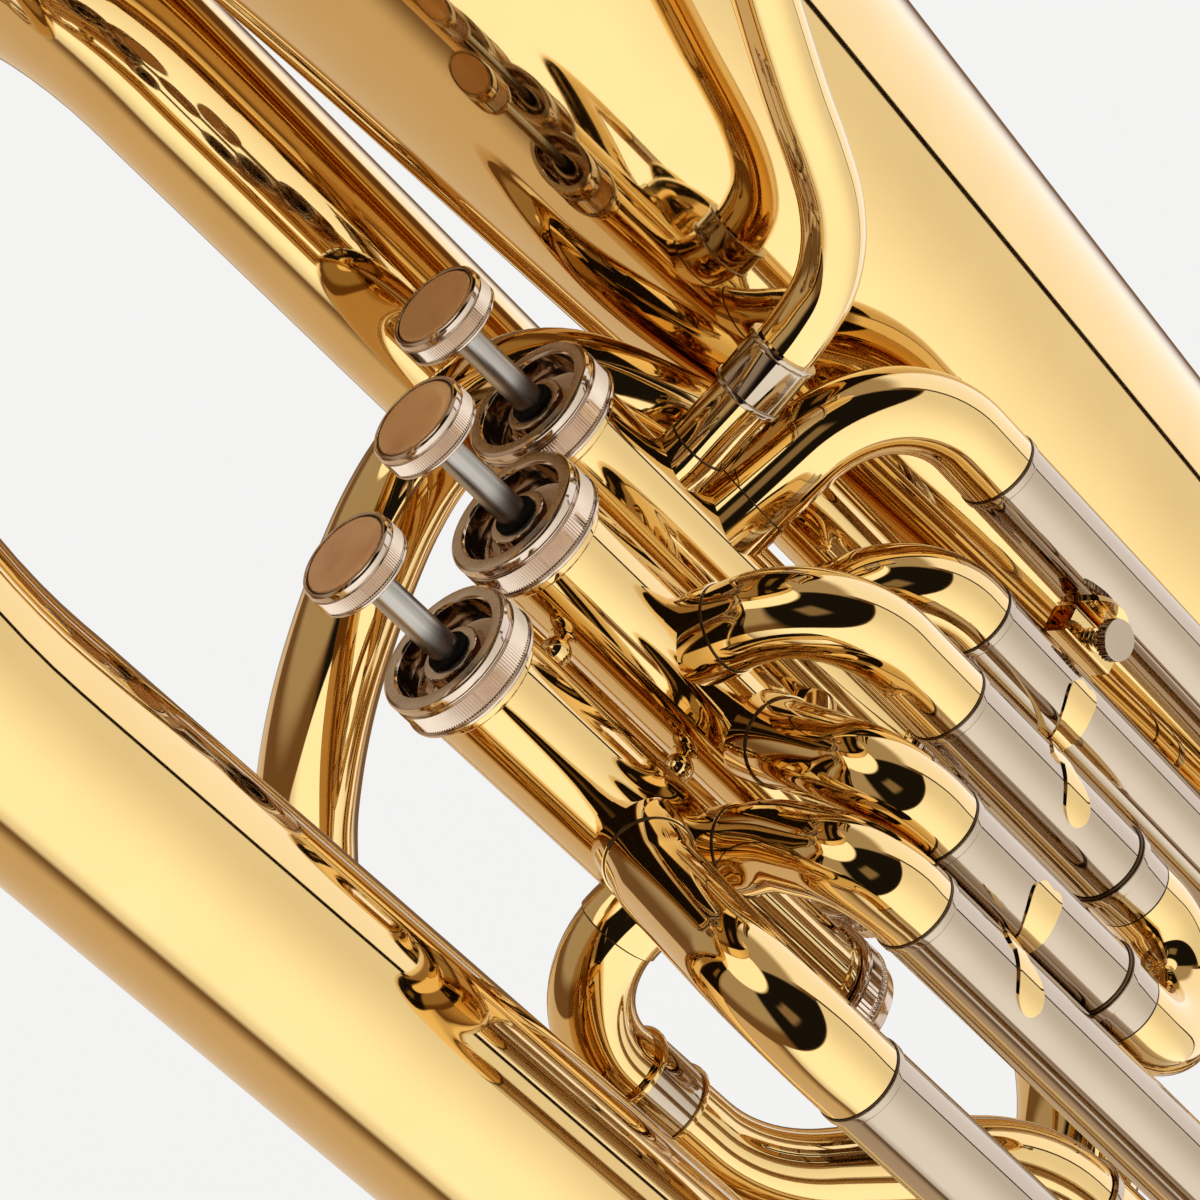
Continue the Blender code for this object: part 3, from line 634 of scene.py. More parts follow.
def bell():
    axis, low, high = box_axis("bell")
    levels = {}
    for vertex in NODES["bell"].data.vertices:
        reach = (Vector((vertex.co.x, vertex.co.y, 0)) - axis).length
        levels.setdefault(round(vertex.co.z, 5), []).append(reach)
    outside = [(max(reach), z) for z, reach in sorted(levels.items())]
    outside = [(r, z) for r, z in outside if z < high - 14 * MM and r > 30 * MM]
    kept = outside[:1]
    for radius, z in outside[1:]:
        if z - kept[-1][1] > 8 * MM:
            kept.append((radius, z))
    rim = 139.6 * MM
    kept += [(rim - 14 * MM, high - 6.5 * MM), (rim - 4.2 * MM, high - 2.6 * MM)]
    outer = smooth_profile(kept)
    wall = 0.9 * MM
    inner = []
    for i, (radius, z) in enumerate(outer):
        before, after = outer[max(i - 1, 0)], outer[min(i + 1, len(outer) - 1)]
        run = Vector((after[0] - before[0], after[1] - before[1])).normalized()
        inner.append((radius - run.y * wall, z + run.x * wall))
    bead = []
    for k in range(13):
        turn = math.radians(-150 + 270 * k / 12)
        bead.append((rim - 1.9 * MM + 2.1 * MM * math.cos(turn), high - 2.1 * MM + 2.1 * MM * math.sin(turn)))
    profile = outer[:-1] + bead + inner[::-1][2:]
    skin = turned("bell_flare", [(r, z) for r, z in profile], axis, UP, 176)
    dress(skin, "horn", GOLD, BRASS_SLOT, "bell")


# Valves

CAP_OUTLINE = scaled(
    [
        (11.5, 0), (13.4, 0), (14.0, -0.25), (14.25, -0.9), (14.2, -1.9), (13.95, -2.25), (13.7, -2.4),
        (13.7, -2.75), (14.25, -2.95), (14.25, -7.1), (14.1, -7.2), (14.1, -7.35), (14.6, -7.45),
        (14.6, -8.1), (14.35, -8.3), (3.6, -8.3), (3.6, -2.6), (4.0, -1.9), (5.9, -1.9), (6.15, -2.2),
        (6.3, -5.6), (7.2, -6.1), (9.6, -6.1), (10.6, -5.7), (10.9, -4.2), (11.1, -0.5),
    ]
)  # fmt: skip
BOTTOM_OUTLINE = scaled(
    [
        (9.9, 0), (14.2, 0), (14.35, -0.6), (14.0, -0.9), (14.0, -1.2), (14.25, -1.4), (14.25, -6.2),
        (14.0, -6.6), (13.4, -7.6), (13.1, -9.9), (12.2, -10.7), (2.5, -10.7), (2.5, -7.7), (9.9, -7.7),
    ]
)  # fmt: skip
BUTTON_OUTLINE = scaled(
    [
        (0, 0), (9.5, 0), (9.9, 0.25), (9.9, 0.7), (9.7, 0.85), (9.7, 1.0), (9.95, 1.1), (9.95, 4.2),
        (9.75, 4.35), (9.7, 4.5), (9.9, 4.65), (9.8, 5.6), (9.35, 6.05), (8.95, 6.0), (8.85, 5.7),
        (8.85, 3.7), (0, 3.7),
    ]
)  # fmt: skip


def knurled(name, outline, fillet, low, high, inner, number, origin, depth=0.32 * MM):
    """A turned nickel piece whose band between two heights is cut with upright ridges."""
    profile = []
    rounded = filleted(outline, fillet, 3)
    for (r, z), (s, y) in zip(rounded, rounded[1:] + rounded[:1]):
        profile.append((r, z))
        steps = int(abs(y - z) / (0.8 * MM))
        if r > inner and s > inner:
            profile += [(r + (s - r) * k / (steps + 1), z + (y - z) * k / (steps + 1)) for k in range(1, steps + 1)]
    ridges = (number, depth, low, high, inner)
    return turned(name, profile, origin, UP, number * 4, ridges)


def coil(name, axis, radius, wire, low, high, turns, material, body, slot, *nodes):
    count = int(turns * 28)
    points = []
    for i in range(count + 1):
        turn = 2 * math.pi * turns * i / count
        rise = low + (high - low) * i / count
        points.append(Vector((radius * math.cos(turn), radius * math.sin(turn), rise)) + axis)
    stations = []
    for i, point in enumerate(points):
        run = points[min(i + 1, count)] - points[max(i - 1, 0)]
        stations.append((point, run.normalized(), wire))
    return dress(sweep(name, stations, sides=12, cap=True), body, material, slot, *nodes)


def valve(number):
    name = f"valve_{number}_"
    axis, bottom, top = box_axis(name + "casing")
    tube = [(12.3, 0), (12.9, 0.1), (12.9, 2.2), (12.3, 2.6), (12.3, 99.8), (12.65, 100.1), (12.65, 101.9)]
    height = top - bottom
    outline = [(r * MM, bottom + z * MM) for r, z in tube if z * MM <= height] + [(10.8 * MM, top), (10.8 * MM, bottom)]
    casing = turned(name + "barrel", filleted(outline, 0.3 * MM), axis, UP, 112)
    dress(casing, "horn", GOLD, BRASS_SLOT, name + "casing")

    _, low, high = box_axis(name + "top_cap")
    outline = [(r, high + z) for r, z in CAP_OUTLINE]
    band_low, band_high = high - 7.05 * MM, high - 3.0 * MM
    cap = knurled(name + "cap_knurled", outline, 0.22 * MM, band_low, band_high, 14 * MM, 149, axis)
    dress(cap, "horn", CAP_NICKEL, NICKEL_SLOT, name + "top_cap")
    cap.data.materials.append(SATIN)
    for face in cap.data.polygons:
        flat_top = abs(face.normal.z) > 0.97 and face.center.z > high - 2.2 * MM
        face.material_index = 1 if flat_top else 0
    felt = turned(
        name + "felt",
        filleted(scaled([(3.05, -1.9), (4.3, -1.9), (4.3, -1.2), (3.9, -0.8), (3.05, -0.9)]), 0.2 * MM),
        axis + UP * high,
    )
    dress(felt, "horn", FELT, NICKEL_SLOT)

    _, low, high = box_axis(name + "bottom_cap")
    outline = [(r, high + z) for r, z in BOTTOM_OUTLINE]
    band_low, band_high = high - 6.1 * MM, high - 1.45 * MM
    cap = knurled(name + "foot_knurled", outline, 0.25 * MM, band_low, band_high, 14 * MM, 92, axis)
    dress(cap, "horn", CAP_NICKEL, NICKEL_SLOT, name + "bottom_cap")

    action = f"valve_{number}_action"
    _, low, high = box_axis(name + "stem")
    rod = scaled([(0, 0), (3.0, 0)])
    rod = [(r, low) for r, _ in rod] + [(3.0 * MM, high), (0, high)]
    dress(turned(name + "rod", filleted(rod, 0.3 * MM), axis, UP, 48), action, STEEL, "steel", name + "stem")

    _, low, high = box_axis(name + "button")
    outline = [(r, low + z) for r, z in BUTTON_OUTLINE]
    band_low, band_high = low + 1.15 * MM, low + 4.15 * MM
    button = knurled(name + "finger_button", outline, 0.2 * MM, band_low, band_high, 9.8 * MM, 118, axis)
    dress(button, action, CAP_NICKEL, NICKEL_SLOT, name + "button")

    _, low, high = box_axis(name + "insert")
    disc = [(0, low), (8.55 * MM, low), (8.55 * MM, high - 0.35 * MM), (8.2 * MM, high + 0.05 * MM)]
    disc += [(6 * MM, high - 0.05 * MM), (3 * MM, high - 0.12 * MM), (0, high - 0.14 * MM)]
    tile = turned(name + "pearl_insert", filleted(disc, 0.2 * MM), axis, UP, 72)
    dress(tile, action, TAN, "button_insert", name + "insert")
    # A dark ring round the insert: painted shade of the gap between insert and button, with some grime.
    ring_outline = [(8.45 * MM, high - 1.2 * MM), (8.83 * MM, high - 1.2 * MM), (8.83 * MM, high - 0.25 * MM)]
    ring_outline += [(8.45 * MM, high - 0.3 * MM)]
    dress(turned(name + "insert_edge_shade", ring_outline, axis, UP, 72), action, JOINT_SHADE_AND_GRIME, "button_insert")

    _, low, high = box_axis(name + "spring")
    wire = 0.6 * MM
    spring = coil(
        name + "coil", axis, 7.6 * MM, wire, low + wire, high - wire, 6.5, STEEL, "horn", "steel", name + "spring"
    )
    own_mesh(spring)
    NODES[name + "piston"].data.materials.clear()
    NODES[name + "piston"].data.materials.append(NICKEL)


# Slides


def slide(number):
    name = f"slide_{number}_"
    body = f"valve_slide_{number}"
    for tube in ("upper", "lower"):
        elbow = f"{name}{tube}_elbow"
        leg = f"{name}{tube}_leg"
        plain_tube(elbow)
        if PATHS[elbow][0][0].z < PATHS[elbow][-1][0].z:
            PATHS[elbow] = [(p, -d, r) for p, d, r in reversed(PATHS[elbow])]
        plain_tube(leg, material=NICKEL, slot=NICKEL_SLOT)
        if PATHS[leg][0][0].z < PATHS[leg][-1][0].z:
            PATHS[leg] = [(p, -d, r) for p, d, r in reversed(PATHS[leg])]
        path = PATHS[leg]
        # The dark rings at the leg's top, at its collar and in its end groove paint the shade in those gaps, with some
        # grime.
        ring(leg + "_top_joint_shade", path, 0.0, band(-0.3, 0.16, 0.34), "horn", JOINT_SHADE_AND_GRIME, BRASS_SLOT)
        ring(leg + "_collar", path, 1.15 * MM, band(-0.3, 0.3, 1.7), "horn", NICKEL, NICKEL_SLOT)
        ring(leg + "_collar_joint_shade", path, 2.1 * MM, band(-0.3, 0.06, 0.12), "horn", JOINT_SHADE_AND_GRIME, BRASS_SLOT)
        ring(leg + "_end_groove_shade", path, -2.5 * MM, band(-0.3, 0.3, 0.8), "horn", JOINT_SHADE_AND_GRIME, BRASS_SLOT)
        ring(leg + "_end_bead", path, -1.05 * MM, band(-0.3, 0.7, 2.1), "horn", NICKEL, NICKEL_SLOT)
        port_end(elbow, PATHS[elbow], number)
    crook(name + "crook", body, PATHS[name + "upper_leg"][-1][0].z)


def crook(node, body, mouth):
    """A sliding bow: nickel inner tubes that run up inside the legs, and a lacquered bow below them."""
    path = smooth_stations(node)
    PATHS[node] = path
    top = path[0][0].z
    inside = top - mouth
    nickel = inside + 7.7 * MM
    total = total_length(path)
    for side, start, end in (("a", 0, nickel), ("b", total - nickel, total)):
        inner = part_of(path, start, end)
        inner = [(p, d, 7.5 * MM if p.z > mouth + 0.2 * MM else r) for p, d, r in inner]
        tube = sweep(f"{node}_inner_tube_{side}", inner, 0.5 * MM, 56)
        dress(tube, body, NICKEL, NICKEL_SLOT)
        place = inside + 3.9 * MM if side == "a" else total - inside - 3.9 * MM
        outline = band(-0.2, 0.75, 7.1)
        ring(f"{node}_ferrule_{side}", path, place, outline, body, NICKEL, NICKEL_SLOT)
        # The dark ring where the nickel tube meets the lacquered bow paints the shade in that joint, with some grime.
        edge = nickel - 0.05 * MM if side == "a" else total - nickel + 0.05 * MM
        ring(f"{node}_joint_shade_{side}", path, edge, band(-0.3, 0.72, 0.26), body, JOINT_SHADE_AND_GRIME, BRASS_SLOT)
    bow = part_of(path, nickel, total - nickel)
    bow = [(p, d, 8.35 * MM) for p, d, _ in bow]
    dress(sweep(node + "_bow", bow, 0.6 * MM, 64), body, GOLD, BRASS_SLOT, node)
    middle = station_at(path, total / 2)
    outline = scaled([(0, 7.5), (2.4, 7.6), (2.2, 9.2), (1.5, 10.2), (1.7, 11.4), (3.2, 12.4), (3.3, 13.6), (0, 14.2)])
    knob = turned(node + "_pull_knob", filleted(outline, 0.5 * MM), middle[0], -UP, 40)
    dress(knob, body, NICKEL, NICKEL_SLOT)


guard_sheet()
bell()
for valve_number in (1, 2, 3):
    valve(valve_number)
for slide_number in (1, 2, 3):
    slide(slide_number)


# Stays, lyre holder, ferrules and the main tuning slide


def sheet_from_rows(name, rows, thickness):
    """A thin plate from rows of (inner point, outward normal), closed all round its edge."""
    count = len(rows[0])
    vertices = []
    for row in rows:
        vertices += [point for point, _ in row]
        vertices += [point + normal * thickness for point, normal in row]
    stride = 2 * count
    faces = []
    for i in range(len(rows) - 1):
        for k in range(count - 1):
            for layer in (0, count):
                a = i * stride + layer + k
                faces.append((a, a + 1, a + 1 + stride, a + stride))
        for k in (0, count - 1):
            a = i * stride + k
            faces.append((a, a + count, a + count + stride, a + stride))
    for i in (0, len(rows) - 1):
        for k in range(count - 1):
            a = i * stride + k
            faces.append((a, a + 1, a + 1 + count, a + count))
    return add_mesh(name, vertices, faces)


# Where a strap runs on its two legs, in degrees round the leg from the camera's side, and its middle line there:
# (degrees, rise, half width)
STRAP_FROM = 56
STRAP_LEAVES = -78
STRAP_ARRIVES = 84
STRAP_TO = -24
STRAP_FIRST = [
    (46, 5.6, 0.5), (44, 5.6, 2.4), (38, 5.4, 3.7), (26, 4.9, 4.0), (8, 3.9, 3.5), (-20, 1.9, 2.6),
    (-48, 0.7, 1.8), (-74, 0.1, 1.35),
]  # fmt: skip
STRAP_SECOND = [
    (82, -0.8, 1.25), (64, -3.0, 1.35), (50, -4.9, 1.9), (36, -7.2, 2.8), (24, -9.2, 3.1), (14, -10.9, 2.5),
    (8, -12.0, 1.5), (6, -12.4, 0.4),
]  # fmt: skip


def turned_from_camera(degrees):
    """A horizontal direction, measured from the camera's side towards the right of the picture."""
    angle = math.radians(degrees)
    return TOWARDS_CAMERA * math.cos(angle) + PICTURE_RIGHT * math.sin(angle)


def stay(node, right_leg, left_leg, height, lift):
    """An S-shaped strap over two neighbouring legs: a broad lobe on each, and a narrow waist that joins them."""
    radius = (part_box(right_leg)[1].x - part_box(right_leg)[0].x) / 2 + 0.05 * MM
    first = box_axis(right_leg)[0]
    second = box_axis(left_leg)[0]
    line = []
    for k in range(41):
        out = turned_from_camera(STRAP_FROM + (STRAP_LEAVES - STRAP_FROM) * k / 40)
        line.append((first + out * radius, out))
    start, start_normal = line[-1]
    arriving = turned_from_camera(STRAP_ARRIVES)
    finish = second + arriving * radius
    for k in range(1, 12):
        share = k / 12
        line.append((start.lerp(finish, share), start_normal.lerp(arriving, share).normalized()))
    for k in range(41):
        out = turned_from_camera(STRAP_ARRIVES + (STRAP_TO - STRAP_ARRIVES) * k / 40)
        line.append((second + out * radius, out))
    lengths = [0.0]
    for (p, _), (q, _) in zip(line, line[1:]):
        lengths.append(lengths[-1] + (q - p).length)
    arrival = lengths[52]

    def over_first(degrees):
        return radius * math.radians(STRAP_FROM - degrees)

    def over_second(degrees):
        return arrival + radius * math.radians(STRAP_ARRIVES - degrees)

    spine = [(over_first(degrees), rise * MM, half * MM) for degrees, rise, half in STRAP_FIRST]
    spine += [(over_second(degrees), rise * MM + lift, half * MM) for degrees, rise, half in STRAP_SECOND]
    spine = smooth_profile(spine, 6)
    rows = []
    for i, (along, rise, half) in enumerate(spine):
        before, after = spine[max(i - 1, 0)], spine[min(i + 1, len(spine) - 1)]
        run = Vector((after[0] - before[0], after[1] - before[1])).normalized()
        row = []
        for k in range(9):
            offset = max(half, 0.2 * MM) * (2 * k / 8 - 1)
            row.append(on_strip(line, lengths, along - run.y * offset, height + rise + run.x * offset))
        rows.append(row)
    plate = sheet_from_rows(node + "_strap", rows, 0.5 * MM)
    bevel = plate.modifiers.new("soft_edge", "BEVEL")
    bevel.width = 0.14 * MM
    bevel.segments = 2
    bevel.limit_method = "ANGLE"
    dress(plate, "horn", GOLD, BRASS_SLOT, node)


def on_strip(line, lengths, along, height):
    """The point and the outward normal at a distance along a strap's line, raised to a height."""
    along = min(max(along, 0.0), lengths[-1] - 1e-7)
    i = max(k for k, length in enumerate(lengths) if length <= along)
    share = (along - lengths[i]) / (lengths[i + 1] - lengths[i])
    point = line[i][0].lerp(line[i + 1][0], share)
    return point + UP * height, line[i][1].lerp(line[i + 1][1], share).normalized()


def square_tube(name, centre, heading, outer, inner, low, high):
    """An upright square tube with rounded corners, open at both ends."""
    vertices = []
    corner_steps = 5
    loops = []
    for half, z in ((outer, low), (outer, high), (inner, high), (inner, low)):
        loop = []
        soft = half * (0.24 if half == outer else 0.12)
        for corner in range(4):
            middle = math.radians(45 + 90 * corner)
            hub = Vector((math.cos(middle), math.sin(middle))) * (half - soft) * math.sqrt(2)
            for k in range(corner_steps):
                turn = middle + math.radians(-45 + 90 * k / (corner_steps - 1))
                spot = hub + Vector((math.cos(turn), math.sin(turn))) * soft
                loop.append(len(vertices))
                x = spot.x * math.cos(heading) - spot.y * math.sin(heading)
                y = spot.x * math.sin(heading) + spot.y * math.cos(heading)
                vertices.append(Vector((centre.x + x, centre.y + y, z)))
        loops.append(loop)
    faces = []
    for loop, following in zip(loops, loops[1:] + loops[:1]):
        for k in range(len(loop)):
            j = (k + 1) % len(loop)
            faces.append((loop[k], loop[j], following[j], following[k]))
    return add_mesh(name, vertices, faces)


def lyre_holder():
    """A square socket on a round flange, and the thumb screw that clamps a music lyre in it."""
    low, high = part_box("lyre_socket")
    centre = (low + high) / 2
    leg = box_axis("slide_1_upper_leg")[0]
    flat = Vector((centre.x, centre.y, 0)) - leg
    heading = math.atan2(flat.y, flat.x)
    out = flat.normalized()
    side = Vector((-out.y, out.x, 0))
    socket = square_tube("lyre_square_socket", centre, heading, 3.2 * MM, 2.0 * MM, low.z, high.z)
    leg_radius = (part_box("slide_1_upper_leg")[1].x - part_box("slide_1_upper_leg")[0].x) / 2
    rows = []
    for i in range(25):
        reach = 7.6 * MM * (2 * i / 24 - 1)
        half = math.sqrt(max((7.6 * MM) ** 2 - reach**2, (0.9 * MM) ** 2))
        row = []
        for k in range(17):
            around = half * (2 * k / 16 - 1) / leg_radius
            normal = out * math.cos(around) + side * math.sin(around)
            row.append((leg + normal * leg_radius + UP * (centre.z + reach), normal))
        rows.append(row)
    flange = sheet_from_rows("lyre_flange", rows, 0.9 * MM)
    dress(socket, "horn", GOLD, BRASS_SLOT, "lyre_socket")
    dress(flange, "horn", GOLD, BRASS_SLOT)

    screw_low, screw_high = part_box("lyre_screw")
    middle = (screw_low + screw_high) / 2
    front = (middle - centre).normalized()
    base = centre + front * 3.3 * MM
    neck = [(0, 0), (2.6, 0), (2.6, 1.2), (1.9, 1.6), (1.9, 3.2), (2.9, 3.5), (2.9, 4.3), (0, 4.3)]
    boss = turned("lyre_screw_boss", filleted(scaled(neck), 0.25 * MM), base, front, 40)
    dress(boss, "lyre_screw", GOLD, BRASS_SLOT)
    head = [(0, 4.2), (3.6, 4.2), (4.35, 4.5), (4.35, 6.9), (4.2, 7.3), (0, 7.5)]
    outline = filleted(scaled(head), 0.2 * MM)
    ridges = (26, 0.5 * MM, 4.4 * MM, 7.1 * MM, 3.9 * MM)
    disc = turned("lyre_screw_head", outline, base, front, 26 * 8, ridges)
    dress(disc, "lyre_screw", NICKEL, NICKEL_SLOT, "lyre_screw")


def ends_at_valves():
    """The knuckles, the leadpipe and the outlet tube also meet the casings in saddles."""
    for node, valves in (("knuckle_1_2", (1, 2)), ("knuckle_2_3", (2, 3))):
        backwards = [(p, -d, r) for p, d, r in reversed(PATHS[node])]
        for path in (PATHS[node], backwards):
            near = min(valves, key=lambda v: (box_axis(f"valve_{v}_casing")[0].xy - path[0][0].xy).length)
            saddled(bpy.data.objects[node + "_tube"], path[0], box_axis(f"valve_{near}_casing")[0])
    for node, valve_at in (("leadpipe", 1), ("outlet_tube", 3)):
        axis, low, high = box_axis(f"valve_{valve_at}_casing")
        middle = axis + UP * (low + high) / 2
        if (PATHS[node][0][0] - middle).length > (PATHS[node][-1][0] - middle).length:
            PATHS[node] = [(p, -d, r) for p, d, r in reversed(PATHS[node])]
        port_end(node, PATHS[node], valve_at)


def ferrules():
    """Nickel ferrules and solder beads along the lacquered tubing."""
    leadpipe = PATHS["leadpipe"]
    at = 26 * MM
    outline = [(-0.3, -5.5), (0.75, -5.5), (0.95, -5.0), (0.95, 4.6), (0.75, 5.0), (-0.3, 5.0)]
    ring("leadpipe_ferrule", leadpipe, at, outline, "horn", NICKEL, NICKEL_SLOT)
    for i, place in enumerate((20.3, 31.2)):
        ring(f"leadpipe_bead_{i + 1}", leadpipe, place * MM, band(-0.3, 1.35, 1.1), "horn", NICKEL, NICKEL_SLOT)
    outlet = PATHS["outlet_tube"]
    drop = next(i for i, (p, _, _) in enumerate(outlet) if p.z < 299 * MM)
    start = total_length(outlet[:drop]) + outlet[drop - 1][0].z - 301 * MM
    ring("outlet_ferrule", outlet, start + 6 * MM, band(-0.3, 0.8, 12), "horn", NICKEL, NICKEL_SLOT)
    for i, place in enumerate((-0.6, 12.6)):
        ring(f"outlet_bead_{i + 1}", outlet, start + place * MM, band(-0.3, 1.3, 1.2), "horn", GOLD, BRASS_SLOT)
    beads = [("small_bow", 2 * MM), ("small_bow", -2 * MM), ("bottom_bow", 2 * MM), ("bottom_bow", -2 * MM)]
    beads += [("arch_branch", 3 * MM), ("arch_branch", -3 * MM)]
    for i, (node, place) in enumerate(beads):
        ring(f"{node}_ferrule_{i + 1}", PATHS[node], place, band(-0.4, 0.55, 9), "horn", GOLD, BRASS_SLOT)


def ball_posts():
    """Two turned posts with a ball in the middle, which tie the second and third casings together."""
    first = box_axis("valve_2_casing")[0]
    second = box_axis("valve_3_casing")[0]
    along = (second - first).normalized()
    gap = (second - first).length / 2 / MM - 12.2
    ball = 3.1
    curve = [math.radians(-64 + 128 * k / 16) for k in range(17)]
    outline = [(0, -gap), (2.7, -gap), (2.7, -gap + 0.3), (1.8, -gap + 0.45)]
    outline += [(ball * math.cos(turn), ball * math.sin(turn)) for turn in curve]
    outline += [(1.8, gap - 0.45), (2.7, gap - 0.3), (2.7, gap), (0, gap)]
    for i, height in enumerate((375, 338)):
        middle = (first + second) / 2 + UP * height * MM
        post = turned(f"ball_post_{i + 1}", scaled(outline), middle, along, 48)
        dress(post, "horn", GOLD, BRASS_SLOT)


def back_rail():
    """A rod behind the second and third valves, seen through the slit between them, on two arms."""
    first = box_axis("valve_2_casing")[0]
    second = box_axis("valve_3_casing")[0]
    behind = (first + second) / 2 - TOWARDS_CAMERA * 22 * MM
    rod = scaled([(0, 296), (3.3, 296), (3.3, 374), (0, 374)])
    pieces = [turned("rail_rod", filleted(rod, 1.2 * MM), behind, UP, 48)]
    away = (behind - first).normalized()
    arm = [(0, 12.1 * MM), (1.8 * MM, 12.1 * MM), (1.8 * MM, (behind - first).length), (0, (behind - first).length)]
    for height in (304, 366):
        pieces.append(turned("rail_arm", arm, first + UP * height * MM, away, 32))
    dress(joined("valve_back_rail", pieces), "horn", GOLD, BRASS_SLOT)


def tuning_slide():
    """The main tuning slide: two inner tubes, a bow, the drain nipple and its key."""
    first = box_axis("tuning_leg_valve_side")[0]
    second = box_axis("tuning_leg_bell_side")[0]
    low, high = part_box("tuning_crook")
    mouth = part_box("tuning_leg_bell_side")[0].z
    reach = (second - first).length / 2
    along = (second - first).normalized()
    bow_z = low.z + 8.6 * MM + reach
    centre = (first + second) / 2 + UP * bow_z
    path = []
    straight = 12
    for k in range(straight):
        path.append((first + UP * (high.z + (bow_z - high.z) * k / straight), -UP, 8.6 * MM))
    for k in range(49):
        turn = math.pi * k / 48
        spot = centre - along * (reach * math.cos(turn)) - UP * (reach * math.sin(turn))
        run = along * math.sin(turn) - UP * math.cos(turn)
        path.append((spot, run.normalized(), 8.6 * MM))
    for k in range(1, straight + 1):
        path.append((second + UP * (bow_z + (high.z - bow_z) * k / straight), UP, 8.6 * MM))
    body = "main_tuning_slide"
    total = total_length(path)
    inside = high.z - mouth
    nickel = inside + 8 * MM
    for side, start, end in (("a", 0, nickel), ("b", total - nickel, total)):
        dress(sweep(f"tuning_inner_tube_{side}", part_of(path, start, end), 0.6 * MM, 56), body, NICKEL, NICKEL_SLOT)
        place = inside + 4.5 * MM if side == "a" else total - inside - 4.5 * MM
        ring(f"tuning_ferrule_{side}", path, place, band(-0.3, 0.8, 7), body, NICKEL, NICKEL_SLOT)
    bow = [(p, d, 9.3 * MM) for p, d, _ in part_of(path, nickel, total - nickel)]
    dress(sweep("tuning_bow", bow, 0.6 * MM, 72), body, GOLD, BRASS_SLOT, "tuning_crook")
    for leg in ("tuning_leg_valve_side", "tuning_leg_bell_side"):
        where = PATHS[leg]
        lower = -1.6 * MM if where[0][0].z > where[-1][0].z else 1.6 * MM
        ring(leg + "_end_bead", where, lower, band(-0.3, 0.75, 2.4), "horn", NICKEL, NICKEL_SLOT)
        ring(leg + "_top_bead", where, -lower, band(-0.3, 0.6, 2.2), "horn", NICKEL, NICKEL_SLOT)

    front = Vector((along.y, -along.x, 0))
    front = front if front.y < 0 else -front
    lowest = (first + second) / 2 + UP * (low.z + 8.6 * MM)
    pad_at = lowest - along * 12 * MM
    nipple = scaled([(1.5, 7.8), (3.9, 7.8), (3.5, 9.0), (3.0, 9.4), (3.0, 11.0), (2.5, 11.4), (1.5, 11.4)])
    spout = turned("drain_nipple", filleted(nipple, 0.2 * MM), pad_at, front, 40)
    dress(spout, body, NICKEL, NICKEL_SLOT)
    for i, side in enumerate((-4.0, 4.0)):
        ear_at = lowest + UP * side * MM + front * 6.4 * MM
        rows = []
        for k in range(15):
            x = 2.3 * (2 * k / 14 - 1)
            far = 8.2 + math.sqrt(max(2.3**2 - x**2, 0.01))
            row = [(ear_at + along * x * MM + front * (far * j / 6) * MM - UP * 0.7 * MM, UP) for j in range(7)]
            rows.append(row)
        dress(sheet_from_rows(f"key_ear_{i + 1}", rows, 1.4 * MM), body, NICKEL, NICKEL_SLOT)
    pin_at = lowest + front * 14.6 * MM
    pin = scaled([(0, -5.4), (1.2, -5.4), (1.3, -5.0), (0.7, -4.8), (0.7, 4.8), (1.3, 5.0), (1.2, 5.5), (0, 5.6)])
    dress(turned("key_pin", filleted(pin, 0.15 * MM), pin_at, UP, 24), body, STEEL, "steel")
    barrel = scaled([(0.9, -2.8), (1.9, -2.8), (2.1, -2.2), (1.9, -1.6), (1.9, 1.6), (2.1, 2.2), (1.9, 2.8), (0.9, 2.8)])
    lever = [turned("key_barrel", filleted(barrel, 0.2 * MM), pin_at, UP, 32)]
    rows = []
    for k in range(41):
        at = -15.4 + 37 * k / 40
        half = 1.5 + 2.2 * math.exp(-(((at + 12) / 3.4) ** 2)) + 2.3 * math.exp(-(((at - 18) / 4.0) ** 2))
        half *= math.sqrt(max(1 - (abs(k - 20) / 20.2) ** 9, 0.01))
        rise = 0.9 * math.sin((at + 15) / 37 * math.pi) + (0.8 if at > 12 else 0) * ((at - 12) / 9) ** 2
        row = [(pin_at + along * at * MM + UP * half * (2 * j / 8 - 1) * MM + front * rise * MM, front) for j in range(9)]
        rows.append(row)
    lever.append(sheet_from_rows("key_lever", rows, 1.3 * MM))
    cup = scaled([(0, 11.5), (3.3, 11.5), (3.5, 11.9), (3.5, 13.4), (2.6, 14.4), (0, 15.0)])
    lever.append(turned("key_cup", filleted(cup, 0.3 * MM), pad_at, front, 36))
    dress(joined("water_key_lever", lever), "water_key", NICKEL, NICKEL_SLOT, "water_key")


stay("brace_slides_1_2", "slide_1_lower_leg", "slide_2_upper_leg", 272 * MM, 21.5 * MM)
stay("brace_slides_2_3", "slide_2_lower_leg", "slide_3_lower_leg", 286 * MM, 11.6 * MM)
lyre_holder()
ends_at_valves()
ferrules()
ball_posts()
back_rail()
tuning_slide()


# Room


def maths(tree, operation, *values):
    node = tree.nodes.new("ShaderNodeMath")
    node.operation = operation
    for socket, value in zip(node.inputs, values):
        if isinstance(value, (int, float)):
            socket.default_value = value
        else:
            tree.links.new(value, socket)
    return node.outputs[0]


def between(tree, value, start, full, full_end, end):
    """1 from full to full_end, fading to 0 at start and end."""
    sides = []
    for low, high, first, last in ((start, full, 0, 1), (full_end, end, 1, 0)):
        ramp = tree.nodes.new("ShaderNodeMapRange")
        ramp.interpolation_type = "SMOOTHSTEP"
        ramp.inputs["From Min"].default_value = low
        ramp.inputs["From Max"].default_value = high
        ramp.inputs["To Min"].default_value = first
        ramp.inputs["To Max"].default_value = last
        tree.links.new(value, ramp.inputs["Value"])
        sides.append(ramp.outputs["Result"])
    return maths(tree, "MULTIPLY", *sides)


